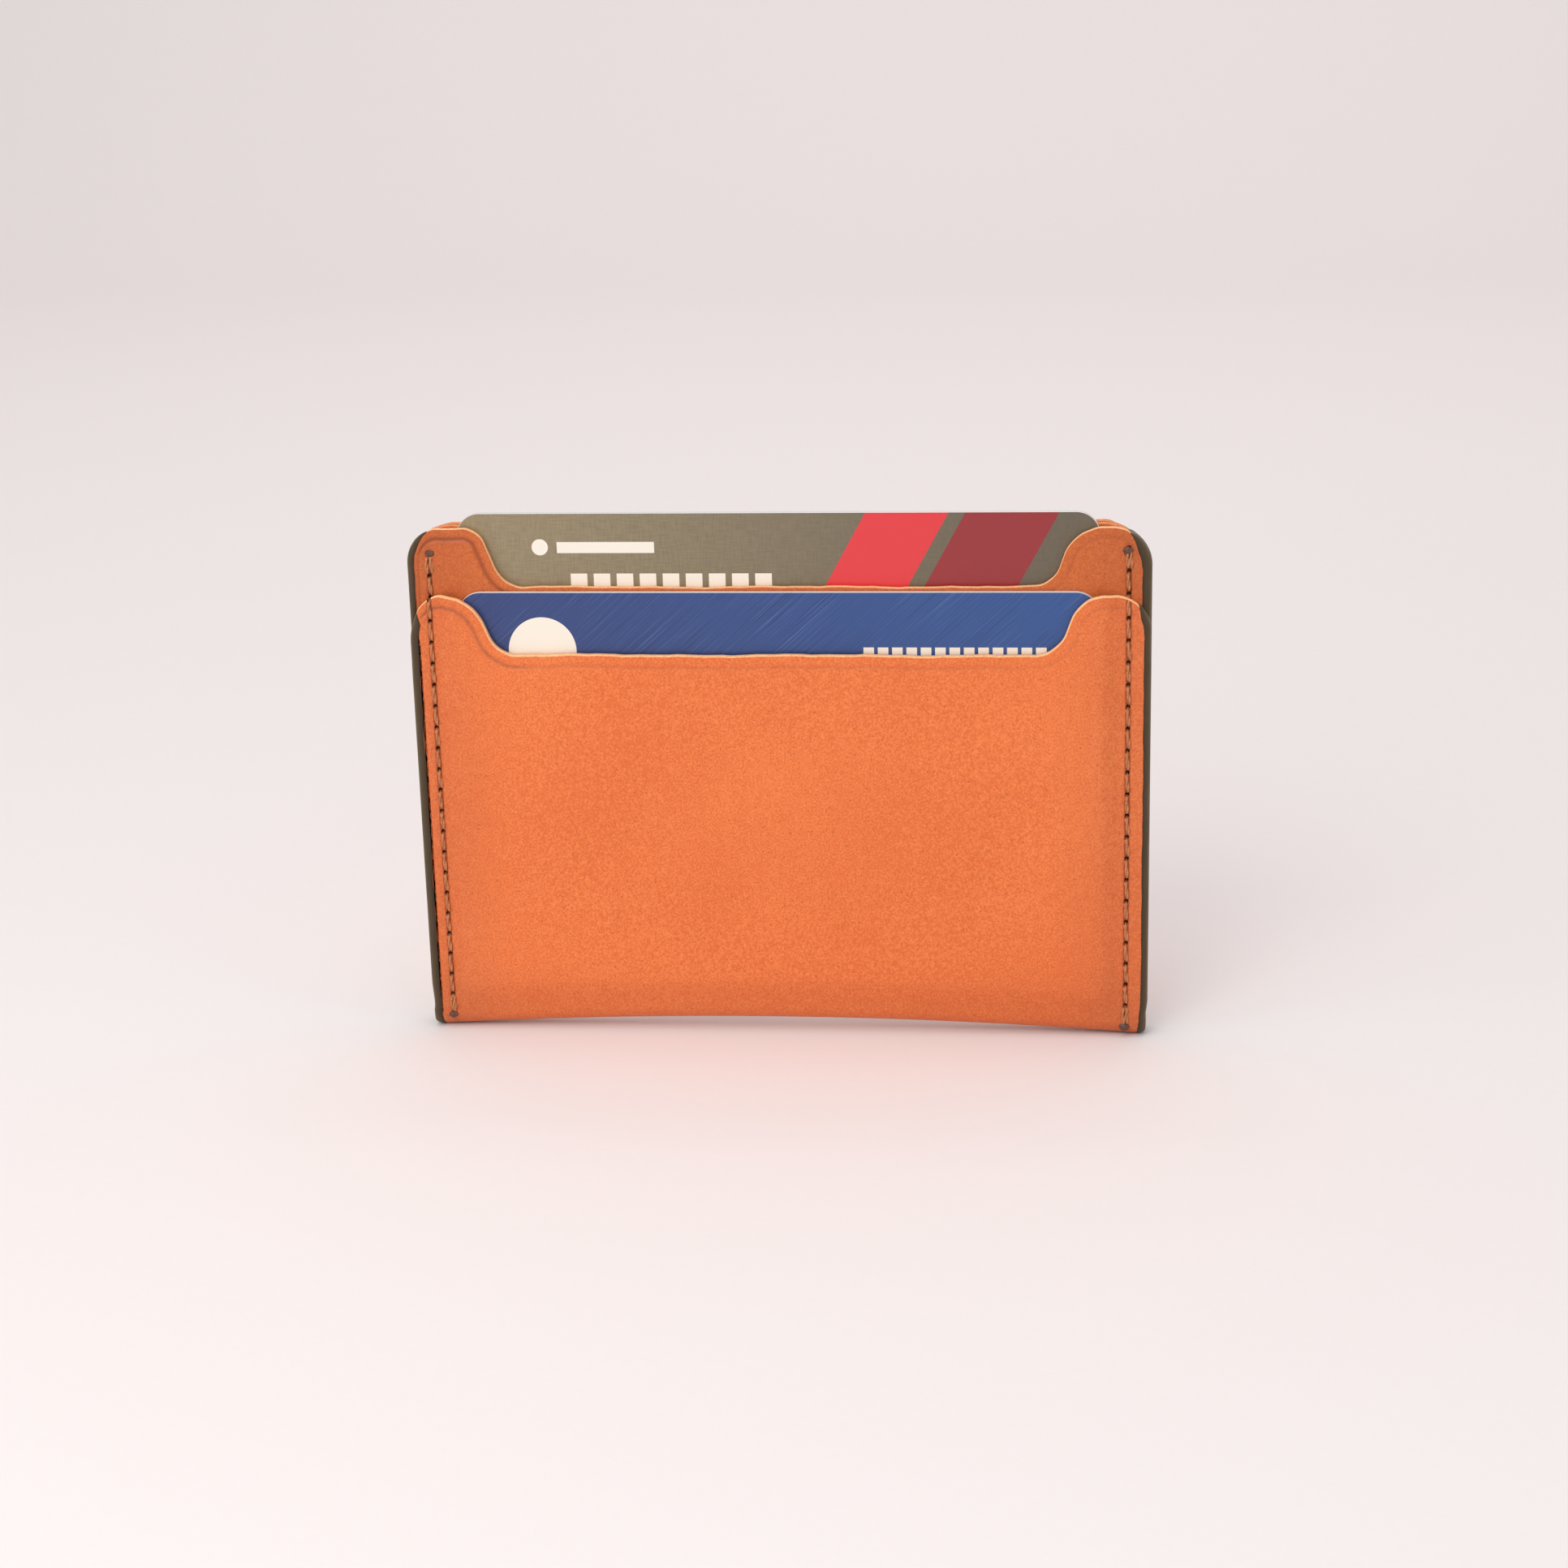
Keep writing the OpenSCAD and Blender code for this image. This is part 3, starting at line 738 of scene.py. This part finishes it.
def crease_and_stitches(first, last, crease_in, crease_share=1.0, side_lines=0.0):
    """Makes the function that gives a face's small dips, and how dark the leather is in them.
    first and last are the first and last of its stitch holes. side_lines is the strength of the
    two lines that the creaser left down the left side, under the ear's corner."""

    def details(x, z, inset):
        side = smooth((np.abs(x) - 32.0) / 4.0)
        fade = crease_share * (0.4 + 0.6 * side) * smooth((HALF_W - 1.5 - np.abs(x)) / 0.5)
        fade = fade * (1 - 0.7 * smooth((x - RIGHT_EASE) / 5.0))
        crease = np.exp(-((inset - crease_in) / CREASE_HALF) ** 2) * fade
        lip = np.exp(-((inset - crease_in - LIP_IN) / LIP_HALF) ** 2) * fade
        dip = CREASE_DEEP * crease - LIP_HIGH * lip
        wear_and_shade = 0.7 * crease + 0.1 * np.exp(-(inset / 0.35) ** 2)
        lines = sum(np.exp(-((x + HALF_W - line_in) / LINE_HALF) ** 2) for line_in in SIDE_LINES_IN)
        lines = lines * side_lines * smooth((TOP - 3.0 - z) / 1.5)
        dip = dip + LINE_DEEP * lines
        wear_and_shade = wear_and_shade + 0.35 * lines
        # Darker towards the seams, partly from handling and partly as painted shade; darker towards the fold
        # at the bottom as painted shade, where the leather turns away from the light.
        wear_and_shade = wear_and_shade + 0.2 * smooth((np.abs(x) - 36.0) / 12.0) + 0.2 * (1 - smooth((z - 1.0) / 11.0))
        for row in ROWS.values():
            holes = row.holes[first:last]
            across = np.exp(-((x - row.x) / GROOVE_HALF) ** 2)
            gap = np.abs(z[:, None] - holes[None, :]).min(1)
            along = smooth((holes.max() + 0.9 - z) / 0.5) * smooth((z - holes.min() + 0.9) / 0.5)
            pucker = np.exp(-((gap / PUCKER_HALF) ** 2)) * across
            dip = dip + along * (GROOVE_DEEP * across + PUCKER * pucker)
            wear_and_shade = wear_and_shade + along * 0.3 * pucker
        return dip, np.clip(wear_and_shade, 0.0, 1.0)

    return details


def join_columns(name, columns, wear_and_shade, kinds, materials):
    """Skins the columns' loops into one closed panel, with a material for each kind of face."""
    points, faces = loft(columns)
    indices = kinds * (len(columns) - 1) + [FLESH, FLESH]
    made = finish_mesh(name, points, faces, "holder", materials, indices,
                       {"wear_and_shade": np.concatenate(wear_and_shade)})
    outward(made)
    return made


def cut_face(top_front, top_back):
    """Two points across a cut edge, between the ends of its two rounded arrises."""
    gap = top_back - top_front
    return np.array([top_front + gap * 0.33, top_front + gap * 0.67])


def behind(depth, by):
    """The depth of a panel's other face, by millimetres behind this one."""
    return lambda x, z: depth(x, z) + by


def plain_panel(name, layer, top, seed, front_depth, details, foot, grain, rim_skin):
    """A flat-cut panel: its grain face in front, its flesh face behind."""
    rows = rows_up(0.0, 1.0, 0.75)
    front = Sheet(layer, top, seed, front_depth, details, foot, rows, -1.0)
    back = Sheet(layer, top, seed, behind(front_depth, LEATHER), None, foot, rows, 1.0)
    columns, wear_and_shade = [], []
    for i in range(len(front.edge)):
        face, dark = front.column(i)
        inner, _ = back.column(i, fine=False)
        columns.append(np.vstack([face, cut_face(face[-1], inner[-1]), inner[::-1]]))
        wear_and_shade.append(np.concatenate([dark, np.zeros(2 + len(inner))]))
    kinds = ([GRAIN] * (len(face) - ROUNDED) + [RIM] * (ROUNDED + 2 + 1)
             + [FLESH] * (len(inner) - 2) + [RIM])
    return join_columns(name, columns, wear_and_shade, kinds, [grain, rim_skin, flesh_side, hole_shade])


def front_depth(x, z):
    share = side_share(x) * height_share(z, FRONT_BEND, fold_line(x))
    swell = CROWN * crown_share(x, z, FRONT_BEND[1], FRONT_TOP - EAR_H) * share
    return -SEAM - FRONT_RISE * share - swell


def back_depth(x, z):
    share = side_share(x) * height_share(z, BACK_BEND, fold_line(x))
    swell = 0.6 * CROWN * crown_share(x, z, BACK_BEND[1], TOP - EAR_H) * share
    return SEAM + BACK_RISE * share + swell


def fold_turn(front_x, back_x, radius, count):
    """Points round the fold, from its front to its back."""
    turn = np.linspace(0.0, math.pi, count + 2)[1:-1]
    x = front_x + (back_x - front_x) * turn / math.pi
    return np.stack([x, -radius * np.cos(turn), fold_line(x) + SEAM - radius * np.sin(turn)], 1)


def outer_wrap():
    """The folded outer leather: front pocket, fold and rear panel in one piece."""
    foot = lambda x: fold_line(x) + SEAM
    rows = rows_up(7.0, 0.32, 0.62)
    front_work = crease_and_stitches(OVER_EDGE + 1, None, FRONT_CREASE_IN, 0.75)
    back_work = crease_and_stitches(0, None, FRONT_CREASE_IN, 0.8)
    front_face = Sheet("front", FRONT_TOP, 3, front_depth, front_work, foot, rows, -1.0)
    front_inner = Sheet("front", FRONT_TOP, 3, behind(front_depth, LEATHER), None, foot, rows, 1.0)
    back_face = Sheet("rear", TOP, 5, back_depth, back_work, foot, rows, 1.0)
    back_inner = Sheet("rear", TOP, 5, behind(back_depth, -LEATHER), None, foot, rows, -1.0)
    columns, wear_and_shade = [], []
    turns = 22
    for i in range(len(front_face.edge)):
        front, front_dark = front_face.column(i)
        back, back_dark = back_face.column(i)
        front_in, _ = front_inner.column(i, fine=False)
        back_in, _ = back_inner.column(i, fine=False)
        outer_turn = fold_turn(front[0, 0], back[0, 0], SEAM, turns)
        inner_turn = fold_turn(front[0, 0], back[0, 0], SEAM - LEATHER, turns // 2)[::-1]
        loop = [front[::-1], outer_turn, back, cut_face(back[-1], back_in[-1]),
                back_in[::-1], inner_turn, front_in, cut_face(front_in[-1], front[-1])]
        columns.append(np.vstack(loop))
        wear_and_shade.append(np.concatenate([front_dark[::-1], np.full(turns, front_dark[0]), back_dark,
                                      np.zeros(sum(len(part) for part in loop[3:]))]))
    outside = len(front) - ROUNDED + turns + len(back) - ROUNDED
    within = len(back_in) + turns // 2 + len(front_in) - 1
    kinds = ([RIM] * ROUNDED + [GRAIN] * outside + [BACK_RIM] * (ROUNDED + 2)
             + [FLESH] * within + [RIM] * 3)
    return join_columns("outer_wrap_leather", columns, wear_and_shade, kinds,
                        [outer_grain, cut_edge, flesh_side, waxed_edge, hole_shade])


def pocket_depth(x, z):
    return np.full(len(x), pocket_low.y)


def divider_depth(x, z):
    return divider_low.y + FRONT_RISE * side_share(x) * height_share(z, DIVIDER_BEND)


def inner_foot(x):
    return fold_line(x) + SEAM + 0.05


wrap = outer_wrap()
second_work = crease_and_stitches(0, OVER_EDGE + 1, SECOND_CREASE_IN, 1.0, 1.0)
second = plain_panel("second_pocket_leather", "second", TOP, 11, pocket_depth, second_work,
                     inner_foot, pocket_grain_shaded, cut_edge)
lining = plain_panel("divider_leather", "divider", TOP, 13, divider_depth, None,
                     inner_foot, pocket_grain_shaded, waxed_edge)

# ---------------------------------------------------------------- awl holes


def awl_hole_tree():
    """Punches a row of slanting holes through a closed panel."""
    tool = Tool("AwlHoles", {
        "Count": "Int", "Pitch": "Float", "Start": "Vector", "Width": "Float", "Height": "Float",
        "Lean": "Float", "Length": "Float", "Wall": "Material"})
    given = tool.given
    awl = tool.add("GeometryNodeMeshCylinder", {"Vertices": 12, "Radius": 0.5, "Depth": given["Length"]})
    awl = tool.moved(awl, Rotation=(math.pi / 2, 0, 0))
    awl = tool.moved(awl, Scale=tool.vector(given["Width"], 1.0, given["Height"]))
    awl = tool.moved(awl, Rotation=tool.vector(0.0, given["Lean"], 0.0))
    punched = tool.mark(tool.copies(tool.down_the_row(), awl), "punched")
    cut = tool.add("GeometryNodeMeshBoolean", {0: given["Geometry"], 1: punched},
                   operation="DIFFERENCE", solver="MANIFOLD")
    return tool.paint_and_end(cut, "punched", given["Wall"])


awl_holes = awl_hole_tree()
for panel in (wrap, second, lining):
    for row in ROWS.values():
        run_nodes(panel, awl_holes, {
            "Count": HOLE_COUNT, "Pitch": row.pitch * MM, "Start": Vector((row.x, 0, row.first)) * MM,
            "Width": SLIT_W * MM, "Height": SLIT_H * MM, "Lean": SLIT_LEAN, "Length": 3 * SEAM * MM,
            "Wall": hole_shade})

# ---------------------------------------------------------------- edge coats

# A coat's section from its inner front corner round to its inner back corner: share of its
# depth in from the outer edge, and share of its thickness from the middle.
COAT_SECTION = [(1.0, -1.0), (0.85, -1.0), (0.7, -1.0)]
for angle in np.linspace(0, math.pi / 2, 8):
    COAT_SECTION.append((0.58 - 0.52 * math.sin(angle), -0.74 - 0.26 * math.cos(angle)))
for share in (-0.45, -0.15, 0.15, 0.45):
    COAT_SECTION.append((0.06 * share ** 2, share))
COAT_SECTION += [(u, -v) for u, v in COAT_SECTION[10::-1]]


def coat_ring(front, back, side):
    """One ring of a coat. front and back each give the outer point (x in from the outer edge, z),
    the depth of wax as a vector, and y."""
    ring = []
    for u, v in COAT_SECTION:
        w = (v + 1) / 2
        x = (front[0][0] + front[1][0] * u) * (1 - w) + (back[0][0] + back[1][0] * u) * w
        z = (front[0][1] + front[1][1] * u) * (1 - w) + (back[0][1] + back[1][1] * u) * w
        y = front[2] * (1 - w) + back[2] * w
        lift = np.clip((z + 0.04) / SEAM, 0.0, 1.0)
        y *= math.sqrt(max(1 - (1 - lift) ** 2, 0.0))
        ring.append((side * (HALF_W - x), y, z))
    return ring


def uneven(z, own):
    """The small unevenness of wax laid on by hand."""
    return sum(0.022 * math.sin(z / wave * 2 * math.pi + phase) for wave, phase in own)


def coat_shell(ears, top, start, y_front, y_back, side, own):
    """Rings of one coat, from height start up its side and over the corners of two layers.
    Near the foot the edge was sanded in, and the wax laps further over the leather."""
    rings = []
    ends = [(ears[0], y_front), (ears[1], y_back)]
    lower = min(top - ear[1] for ear, _ in ends)
    heights = list(np.linspace(start, lower, 70)[:-1])
    if start < FOOT_R:
        low_heights = [0.01, 0.05, 0.12, 0.24, 0.4, 0.6, 0.85, 1.15, 1.5, 1.8, 2.1, 2.5, 2.9, 3.3]
        heights = low_heights + [z for z in heights if z > 3.6]
    sanded, sanded_to, sanded_from = FOOT_WAIST[side]
    for z in heights:
        waist = sanded * (1 - smooth((z - sanded_to) / (sanded_from - sanded_to)))
        waist -= FOOT_FLARE * (1 - smooth((z - 2.5) / 0.7))
        out = waist + FOOT_R - math.sqrt(FOOT_R ** 2 - max(FOOT_R - z, 0.0) ** 2)
        lap = WAX_OVER + uneven(z, own) + 0.15 * (1 - smooth(z / 3.0))
        rings.append(coat_ring(*(((out, z), (waist + ear[5] + lap - out, 0.0), y) for ear, y in ends), side))
    last = max(ear[7] for ear, _ in ends)
    for turn in np.linspace(0.0, last, 30):
        pair = []
        for ear, y in ends:
            outer = corner_point(ear, turn, top)
            inner = corner_point(ear, turn, top, 1.0)
            into = Vector((inner[0] - outer[0], inner[1] - outer[1]))
            depth = wax_depth(ear, turn)
            sink = 0.3 * (1 - min(depth / 0.3, 1.0)) ** 2
            depth += (WAX_OVER + uneven(top, own)) * min(depth / 0.5, 1.0) + 0.03
            pair.append((Vector(outer) + into * sink, into * depth, y - math.copysign(0.7 * sink, y)))
        rings.append(coat_ring(*pair, side))
    return rings


def edge_coat(name, side):
    """The burnished coat on one side: a shell up to the front ear, and one behind it."""
    own = [(wave, phase + side) for wave, phase in ((23.0, 0.4), (9.0, 2.0), (4.1, 4.4))]
    which = 0 if side < 0 else 1
    front_ear, second_ear, rear_ear = (EARS[layer][which] for layer in ("front", "second", "rear"))
    behind_ear = (*front_ear[:5], COAT, *front_ear[6:])
    joint = FRONT_TOP - 10.0
    reach = SEAM + PROUD
    lower = coat_shell((front_ear, behind_ear), FRONT_TOP, 0.0, -SEAM - PROUD, reach, side, own)
    upper = coat_shell((second_ear, rear_ear), TOP, joint, pocket_low.y - PROUD, reach, side, own)
    tucked = []
    for ring in lower:
        share = smooth((ring[0][2] - joint - 0.1) / 0.9)
        limit = reach + (pocket_low.y + GLUE - reach) * share
        tucked.append([(x - side * UNDER * share, min(y, limit), z) for x, y, z in ring])
    points, faces, crown = [], [], []
    for rings in (tucked, upper):
        shell, quads = loft(rings)
        start = len(points)
        points += [tuple(p) for p in shell]
        faces += [tuple(start + i for i in face) for face in quads]
        # 1 at the edge's outer crown and 0 at its root, for the wax's painted highlight and painted shade.
        crown += [1 - u for _ in rings for u, _ in COAT_SECTION]
    made = finish_mesh(name, points, faces, "holder", [edge_wax],
                       attributes={"crown": crown})
    outward(made)
    return made


coats = {-1: edge_coat("left_burnished_edge", -1), 1: edge_coat("right_burnished_edge", 1)}

# ---------------------------------------------------------------- stitching


def saddle_stitch_tree():
    """A run of two-ply stitches down one row, added to whatever comes in."""
    tool = Tool("SaddleStitches", {
        "Count": "Int", "Pitch": "Float", "Start": "Vector", "Facing": "Float", "Slant": "Float",
        "Rise": "Float", "Dive": "Float", "Step": "Float", "Ply radius": "Float", "Ply apart": "Float",
        "Turns": "Float", "Ledge": "Float", "Hole": "Float", "Seed": "Int", "Thread": "Material"})
    given, plus, minus, times = tool.given, tool.plus, tool.minus, tool.times
    along = tool.add("GeometryNodeSplineParameter")
    off = minus(times(along, 2.0), 1.0)
    steep = tool.maths("POWER", tool.size_of(off), 7.0)
    arch = minus(given["Rise"], times(plus(given["Rise"], given["Dive"]), steep))
    ledge = tool.ramp(along, 0.03, given["Ledge"], 1.0, 0.0, interpolation_type="SMOOTHSTEP")
    height = minus(arch, times(ledge, given["Step"]))
    sideways = times(off, given["Slant"])
    span = minus(given["Pitch"], times(given["Hole"], 2.0))
    down = minus(times(along, times(span, -1.0)), given["Hole"])
    section = tool.add("GeometryNodeCurvePrimitiveCircle", {"Resolution": 7, "Radius": given["Ply radius"]})
    plies = []
    for phase in (0.0, math.pi):
        spin = plus(times(along, times(given["Turns"], 2 * math.pi)), phase)
        aside = times(tool.maths("COSINE", spin), given["Ply apart"])
        ahead = times(tool.maths("SINE", spin), given["Ply apart"])
        line = tool.add("GeometryNodeCurvePrimitiveLine", {"End": (0, 0, 1)})
        fine = tool.add("GeometryNodeResampleCurve", {0: line, "Count": 19})
        place = tool.vector(plus(sideways, aside), times(plus(height, ahead), given["Facing"]), down)
        bent = tool.add("GeometryNodeSetPosition", {0: fine, "Position": place})
        plies.append(tool.add("GeometryNodeCurveToMesh", {0: bent, 1: section, "Fill Caps": True}))
    tilt = tool.random((-0.03, -0.05, -0.02), (0.03, 0.05, 0.02))
    size = tool.random((0.93, 0.88, 0.98), (1.07, 1.1, 1.01))
    thread = tool.copies(tool.down_the_row(), tool.join(*plies), Rotation=tilt, Scale=size)
    thread = tool.mark(thread, "thread")
    return tool.paint_and_end(tool.join(given["Geometry"], thread), "thread", given["Thread"])


def pressed_knot_tree():
    """The thread's ends, pressed into lumps over the first and the last hole of a row."""
    tool = Tool("PressedKnots", {
        "Start": "Vector", "End": "Vector", "Size": "Vector", "Roughness": "Float", "Melted": "Material"})
    given = tool.given
    ends = tool.add("GeometryNodeMeshLine", {
        "Count": 2, "Start Location": given["Start"], "Offset": given["End"]}, mode="END_POINTS")
    ball = tool.add("GeometryNodeMeshIcoSphere", {"Radius": 0.5, "Subdivisions": 4})
    balls = tool.copies(ends, ball, Scale=given["Size"])
    lumps = tool.add("ShaderNodeTexNoise", {"Scale": 1.7 / MM, "Detail": 2.0}, 1)
    push = tool.add("ShaderNodeVectorMath", {0: lumps, 1: (0.5, 0.5, 0.5)}, operation="SUBTRACT")
    sized = tool.add("ShaderNodeVectorMath", {0: push, 3: given["Roughness"]}, operation="SCALE")
    melted = tool.mark(tool.add("GeometryNodeSetPosition", {0: balls, "Offset": sized}), "melted")
    return tool.paint_and_end(tool.join(given["Geometry"], melted), "melted", given["Melted"])


FRONT, BACK = -1.0, 1.0                  # which way a stitch faces
stitches = saddle_stitch_tree()
knots = pressed_knot_tree()


def stitch_row(name, side):
    """All the thread on one side: the front run on two levels, the back run and the knots."""
    made = finish_mesh(name, [], [], None, [])
    seeds = itertools.count(20 * (2 + side))
    row = ROWS[side]

    def run(first, count, face, facing, aside=0.0, slant=0.15, step=0.0, rise=0.14):
        start = Vector((row.x + aside, face, row.holes[first])) * MM
        run_nodes(made, stitches, {
            "Count": count, "Pitch": row.pitch * MM, "Start": start, "Facing": facing,
            "Slant": slant * MM, "Rise": rise * MM, "Dive": 0.9 * MM, "Step": step * MM,
            "Ply radius": PLY_R * MM, "Ply apart": PLY_APART * MM, "Turns": 0.8,
            "Ledge": 0.12 if side < 0 else 0.34, "Hole": 0.2 * MM, "Seed": next(seeds),
            "Thread": thread_linen})

    upper, lower, back = pocket_low.y + GROOVE_DEEP, -SEAM + GROOVE_DEEP, SEAM - GROOVE_DEEP
    last = HOLE_COUNT - 2
    for aside in (-0.24, 0.24):
        run(0, 1, upper, FRONT, aside, slant=0.06)
        run(last, 1, lower, FRONT, aside, slant=0.1)
    run(1, OVER_EDGE - 1, upper, FRONT)
    run(OVER_EDGE, 1, lower, FRONT, slant=0.12, step=LEATHER + GLUE, rise=0.24)
    run(OVER_EDGE + 1, last - OVER_EDGE - 1, lower, FRONT)
    run(0, last + 1, back, BACK)
    for first in (0, last):
        run(first, 1, back, BACK, aside=0.45, slant=0.05)
    for face_top, face_foot in ((upper - 0.05, lower - 0.05), (back + 0.05, back + 0.05)):
        run_nodes(made, knots, {
            "Start": Vector((row.x - side * 0.18, face_top, row.holes[0] - KNOT_DROP[side])) * MM,
            "End": Vector((row.x - 0.1, face_foot, row.holes[-1] - 0.1)) * MM,
            "Size": Vector(KNOT_SIZE[side]) * MM, "Roughness": 0.5 * MM, "Melted": singed})
    for polygon in made.data.polygons:
        polygon.use_smooth = True
    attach(made, "holder")
    return made


stitching = {-1: stitch_row("left_stitching", -1), 1: stitch_row("right_stitching", 1)}

# ---------------------------------------------------------------- cards and hidden pieces


def dress(node, material):
    """Gives a CAD node its material."""
    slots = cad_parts[node].material_slots
    if not slots:
        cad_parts[node].data.materials.append(material)
    for slot in slots:
        slot.material = material


def rounded_pad(low_x, high_x, low_z, high_z, radius, front, back):
    """Points and faces of a flat pad with rounded corners."""
    mid_x, mid_z = (low_x + high_x) / 2, (low_z + high_z) / 2
    outline = []
    for x, z, first in ((high_x, high_z, 0), (low_x, high_z, 1), (low_x, low_z, 2), (high_x, low_z, 3)):
        x -= math.copysign(radius, x - mid_x)
        z -= math.copysign(radius, z - mid_z)
        for angle in np.linspace(first, first + 1, 5) * math.pi / 2:
            outline.append((x + radius * math.cos(angle), z + radius * math.sin(angle)))
    bevel = (back - front) * 0.3
    rings = []
    for y, inset in ((back, 0.0), (front + bevel, 0.0), (front, bevel)):
        rings.append([(x - math.copysign(inset, x - mid_x), y, z - math.copysign(inset, z - mid_z))
                      for x, z in outline])
    return loft(rings)


def contact_plate(name, node, body, metal, substrate):
    """A smart card's contact plate: eight plated pads round a middle one, on their dark base."""
    low, high = box_mm(node)
    x, z = (low.x + high.x) / 2, (low.z + high.z) / 2
    half_x, half_z = (high.x - low.x) / 2, (high.z - low.z) / 2
    front = low.y
    pads = [(x - half_x, x + half_x, z - half_z, z + half_z, 1.6, front + 0.05, high.y, 0)]
    gap, waist = 0.22, 2.1
    row_h = (2 * half_z - 5 * gap) / 4
    for i in range(4):
        low_z = z - half_z + gap + i * (row_h + gap)
        for a, b in ((x - half_x + gap, x - waist - gap), (x + waist + gap, x + half_x - gap)):
            pads.append((a, b, low_z, low_z + row_h, 0.5, front, front + 0.08, 1))
    pads.append((x - waist, x + waist, z - half_z + gap, z + half_z - gap, 0.7, front, front + 0.08, 1))
    points, faces, kinds = [], [], []
    for *size, kind in pads:
        pad, quads = rounded_pad(*size)
        start = len(points)
        points += [tuple(p) for p in pad]
        faces += [tuple(start + i for i in face) for face in quads]
        kinds += [kind] * len(quads)
    made = finish_mesh(name, points, faces, body, [substrate, metal], kinds, None, False)
    outward(made)
    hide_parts(node)


gold = plated_contacts("gold_plated_contacts", "#E7C777", "#C9A350")
silver = plated_contacts("palladium_plated_contacts", "#D9DADC", "#B4B7BC")
core = plain_card_core()
back_print = card_back_print()
tape = magnetic_tape()
panel_white = writing_panel()
cement = dried_cement()
substrate = chip_tape()
prints = {"front_card": front_card_print(front_card_low.z), "rear_card": rear_card_print(rear_card_low.z)}
for card, metal in (("front_card", gold), ("rear_card", silver)):
    dress(card + "_core", core)
    dress(card + "_face_film", prints[card])
    dress(card + "_back_film", back_print)
    dress(card + "_stripe", tape)
    dress(card + "_signature_panel", panel_white)
    contact_plate(card + "_contact_plate", card + "_chip", card, metal, substrate)
for node in ("left_seam_cement", "right_seam_cement", "pocket_floor_cement"):
    dress(node, cement)

# ---------------------------------------------------------------- camera, light and floor


def aim(obj, target, azimuth, elevation, distance, roll=0.0):
    """Puts obj at a distance from target, seen from azimuth and elevation in degrees, facing it."""
    a, e = math.radians(azimuth), math.radians(elevation)
    back = Vector((math.sin(a) * math.cos(e), -math.cos(a) * math.cos(e), math.sin(e)))
    turn = (-back).to_track_quat("-Z", "Y").to_matrix().to_4x4()
    spin = Matrix.Rotation(math.radians(roll), 4, "Z")
    obj.matrix_world = Matrix.Translation(Vector(target) * MM + back * distance * MM) @ turn @ spin


def make_camera():
    lens = bpy.data.cameras.new("camera")
    lens.sensor_width = 36.0
    lens.lens = 68.67
    lens.clip_start, lens.clip_end = 0.01, 20.0
    camera = bpy.data.objects.new("camera", lens)
    bpy.context.scene.collection.objects.link(camera)
    aim(camera, (0.34, 0.1, 35.2), azimuth=6.19, elevation=17.18, distance=405.5, roll=-1.49)
    bpy.context.scene.camera = camera


def make_light(name, azimuth, elevation, distance, size, power, colour, target=(0, 0, 30)):
    lamp = bpy.data.lights.new(name, "AREA")
    lamp.shape = "DISK"
    lamp.size = size * MM
    lamp.energy = power
    lamp.color = linear(colour)[:3]
    made = bpy.data.objects.new(name, lamp)
    bpy.context.scene.collection.objects.link(made)
    aim(made, target, azimuth, elevation, distance)


def make_floor():
    """A paper sweep: a level floor that turns up behind the object."""
    depth, wall, bend, side = 1500.0, 1500.0, 500.0, 2500.0
    outline = [(-depth, 0.0), (depth / 2, 0.0)]
    for turn in np.linspace(0, math.pi / 2, 17)[1:]:
        outline.append((depth / 2 + bend * math.sin(turn), bend - bend * math.cos(turn)))
    outline.append((depth / 2 + bend, wall))
    points, faces = [], []
    for y, z in outline:
        points += [(-side, y, z), (side, y, z)]
    for i in range(len(outline) - 1):
        faces.append((2 * i, 2 * i + 1, 2 * i + 3, 2 * i + 2))
    floor = finish_mesh("paper_sweep", points, faces, None, [studio_paper()])


make_camera()
make_floor()
make_light("key", -18, 38, 520, size=300, power=0.83, colour="#FFFCF8")
make_light("left", -60, 30, 800, size=500, power=0.5, colour="#FFFDFB")
make_light("top", 0, 85, 900, size=700, power=1.7, colour="#FFFFFF")
make_light("wall", 0, 40, 900, size=900, power=2.3, colour="#FFF6F3", target=(0, 1200, 350))
world = bpy.data.worlds.new("soft_room")
world.use_nodes = True
world.node_tree.nodes["Background"].inputs[0].default_value = linear("#F2F2F5")
world.node_tree.nodes["Background"].inputs[1].default_value = 0.74
bpy.context.scene.world = world
bpy.context.scene.view_settings.view_transform = "Standard"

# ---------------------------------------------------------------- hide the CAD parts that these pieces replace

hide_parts("outer_wrap")
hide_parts("second_pocket")
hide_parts("divider")
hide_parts("left_edge_coat")
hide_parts("right_edge_coat")
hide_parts("left_thread")
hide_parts("right_thread")
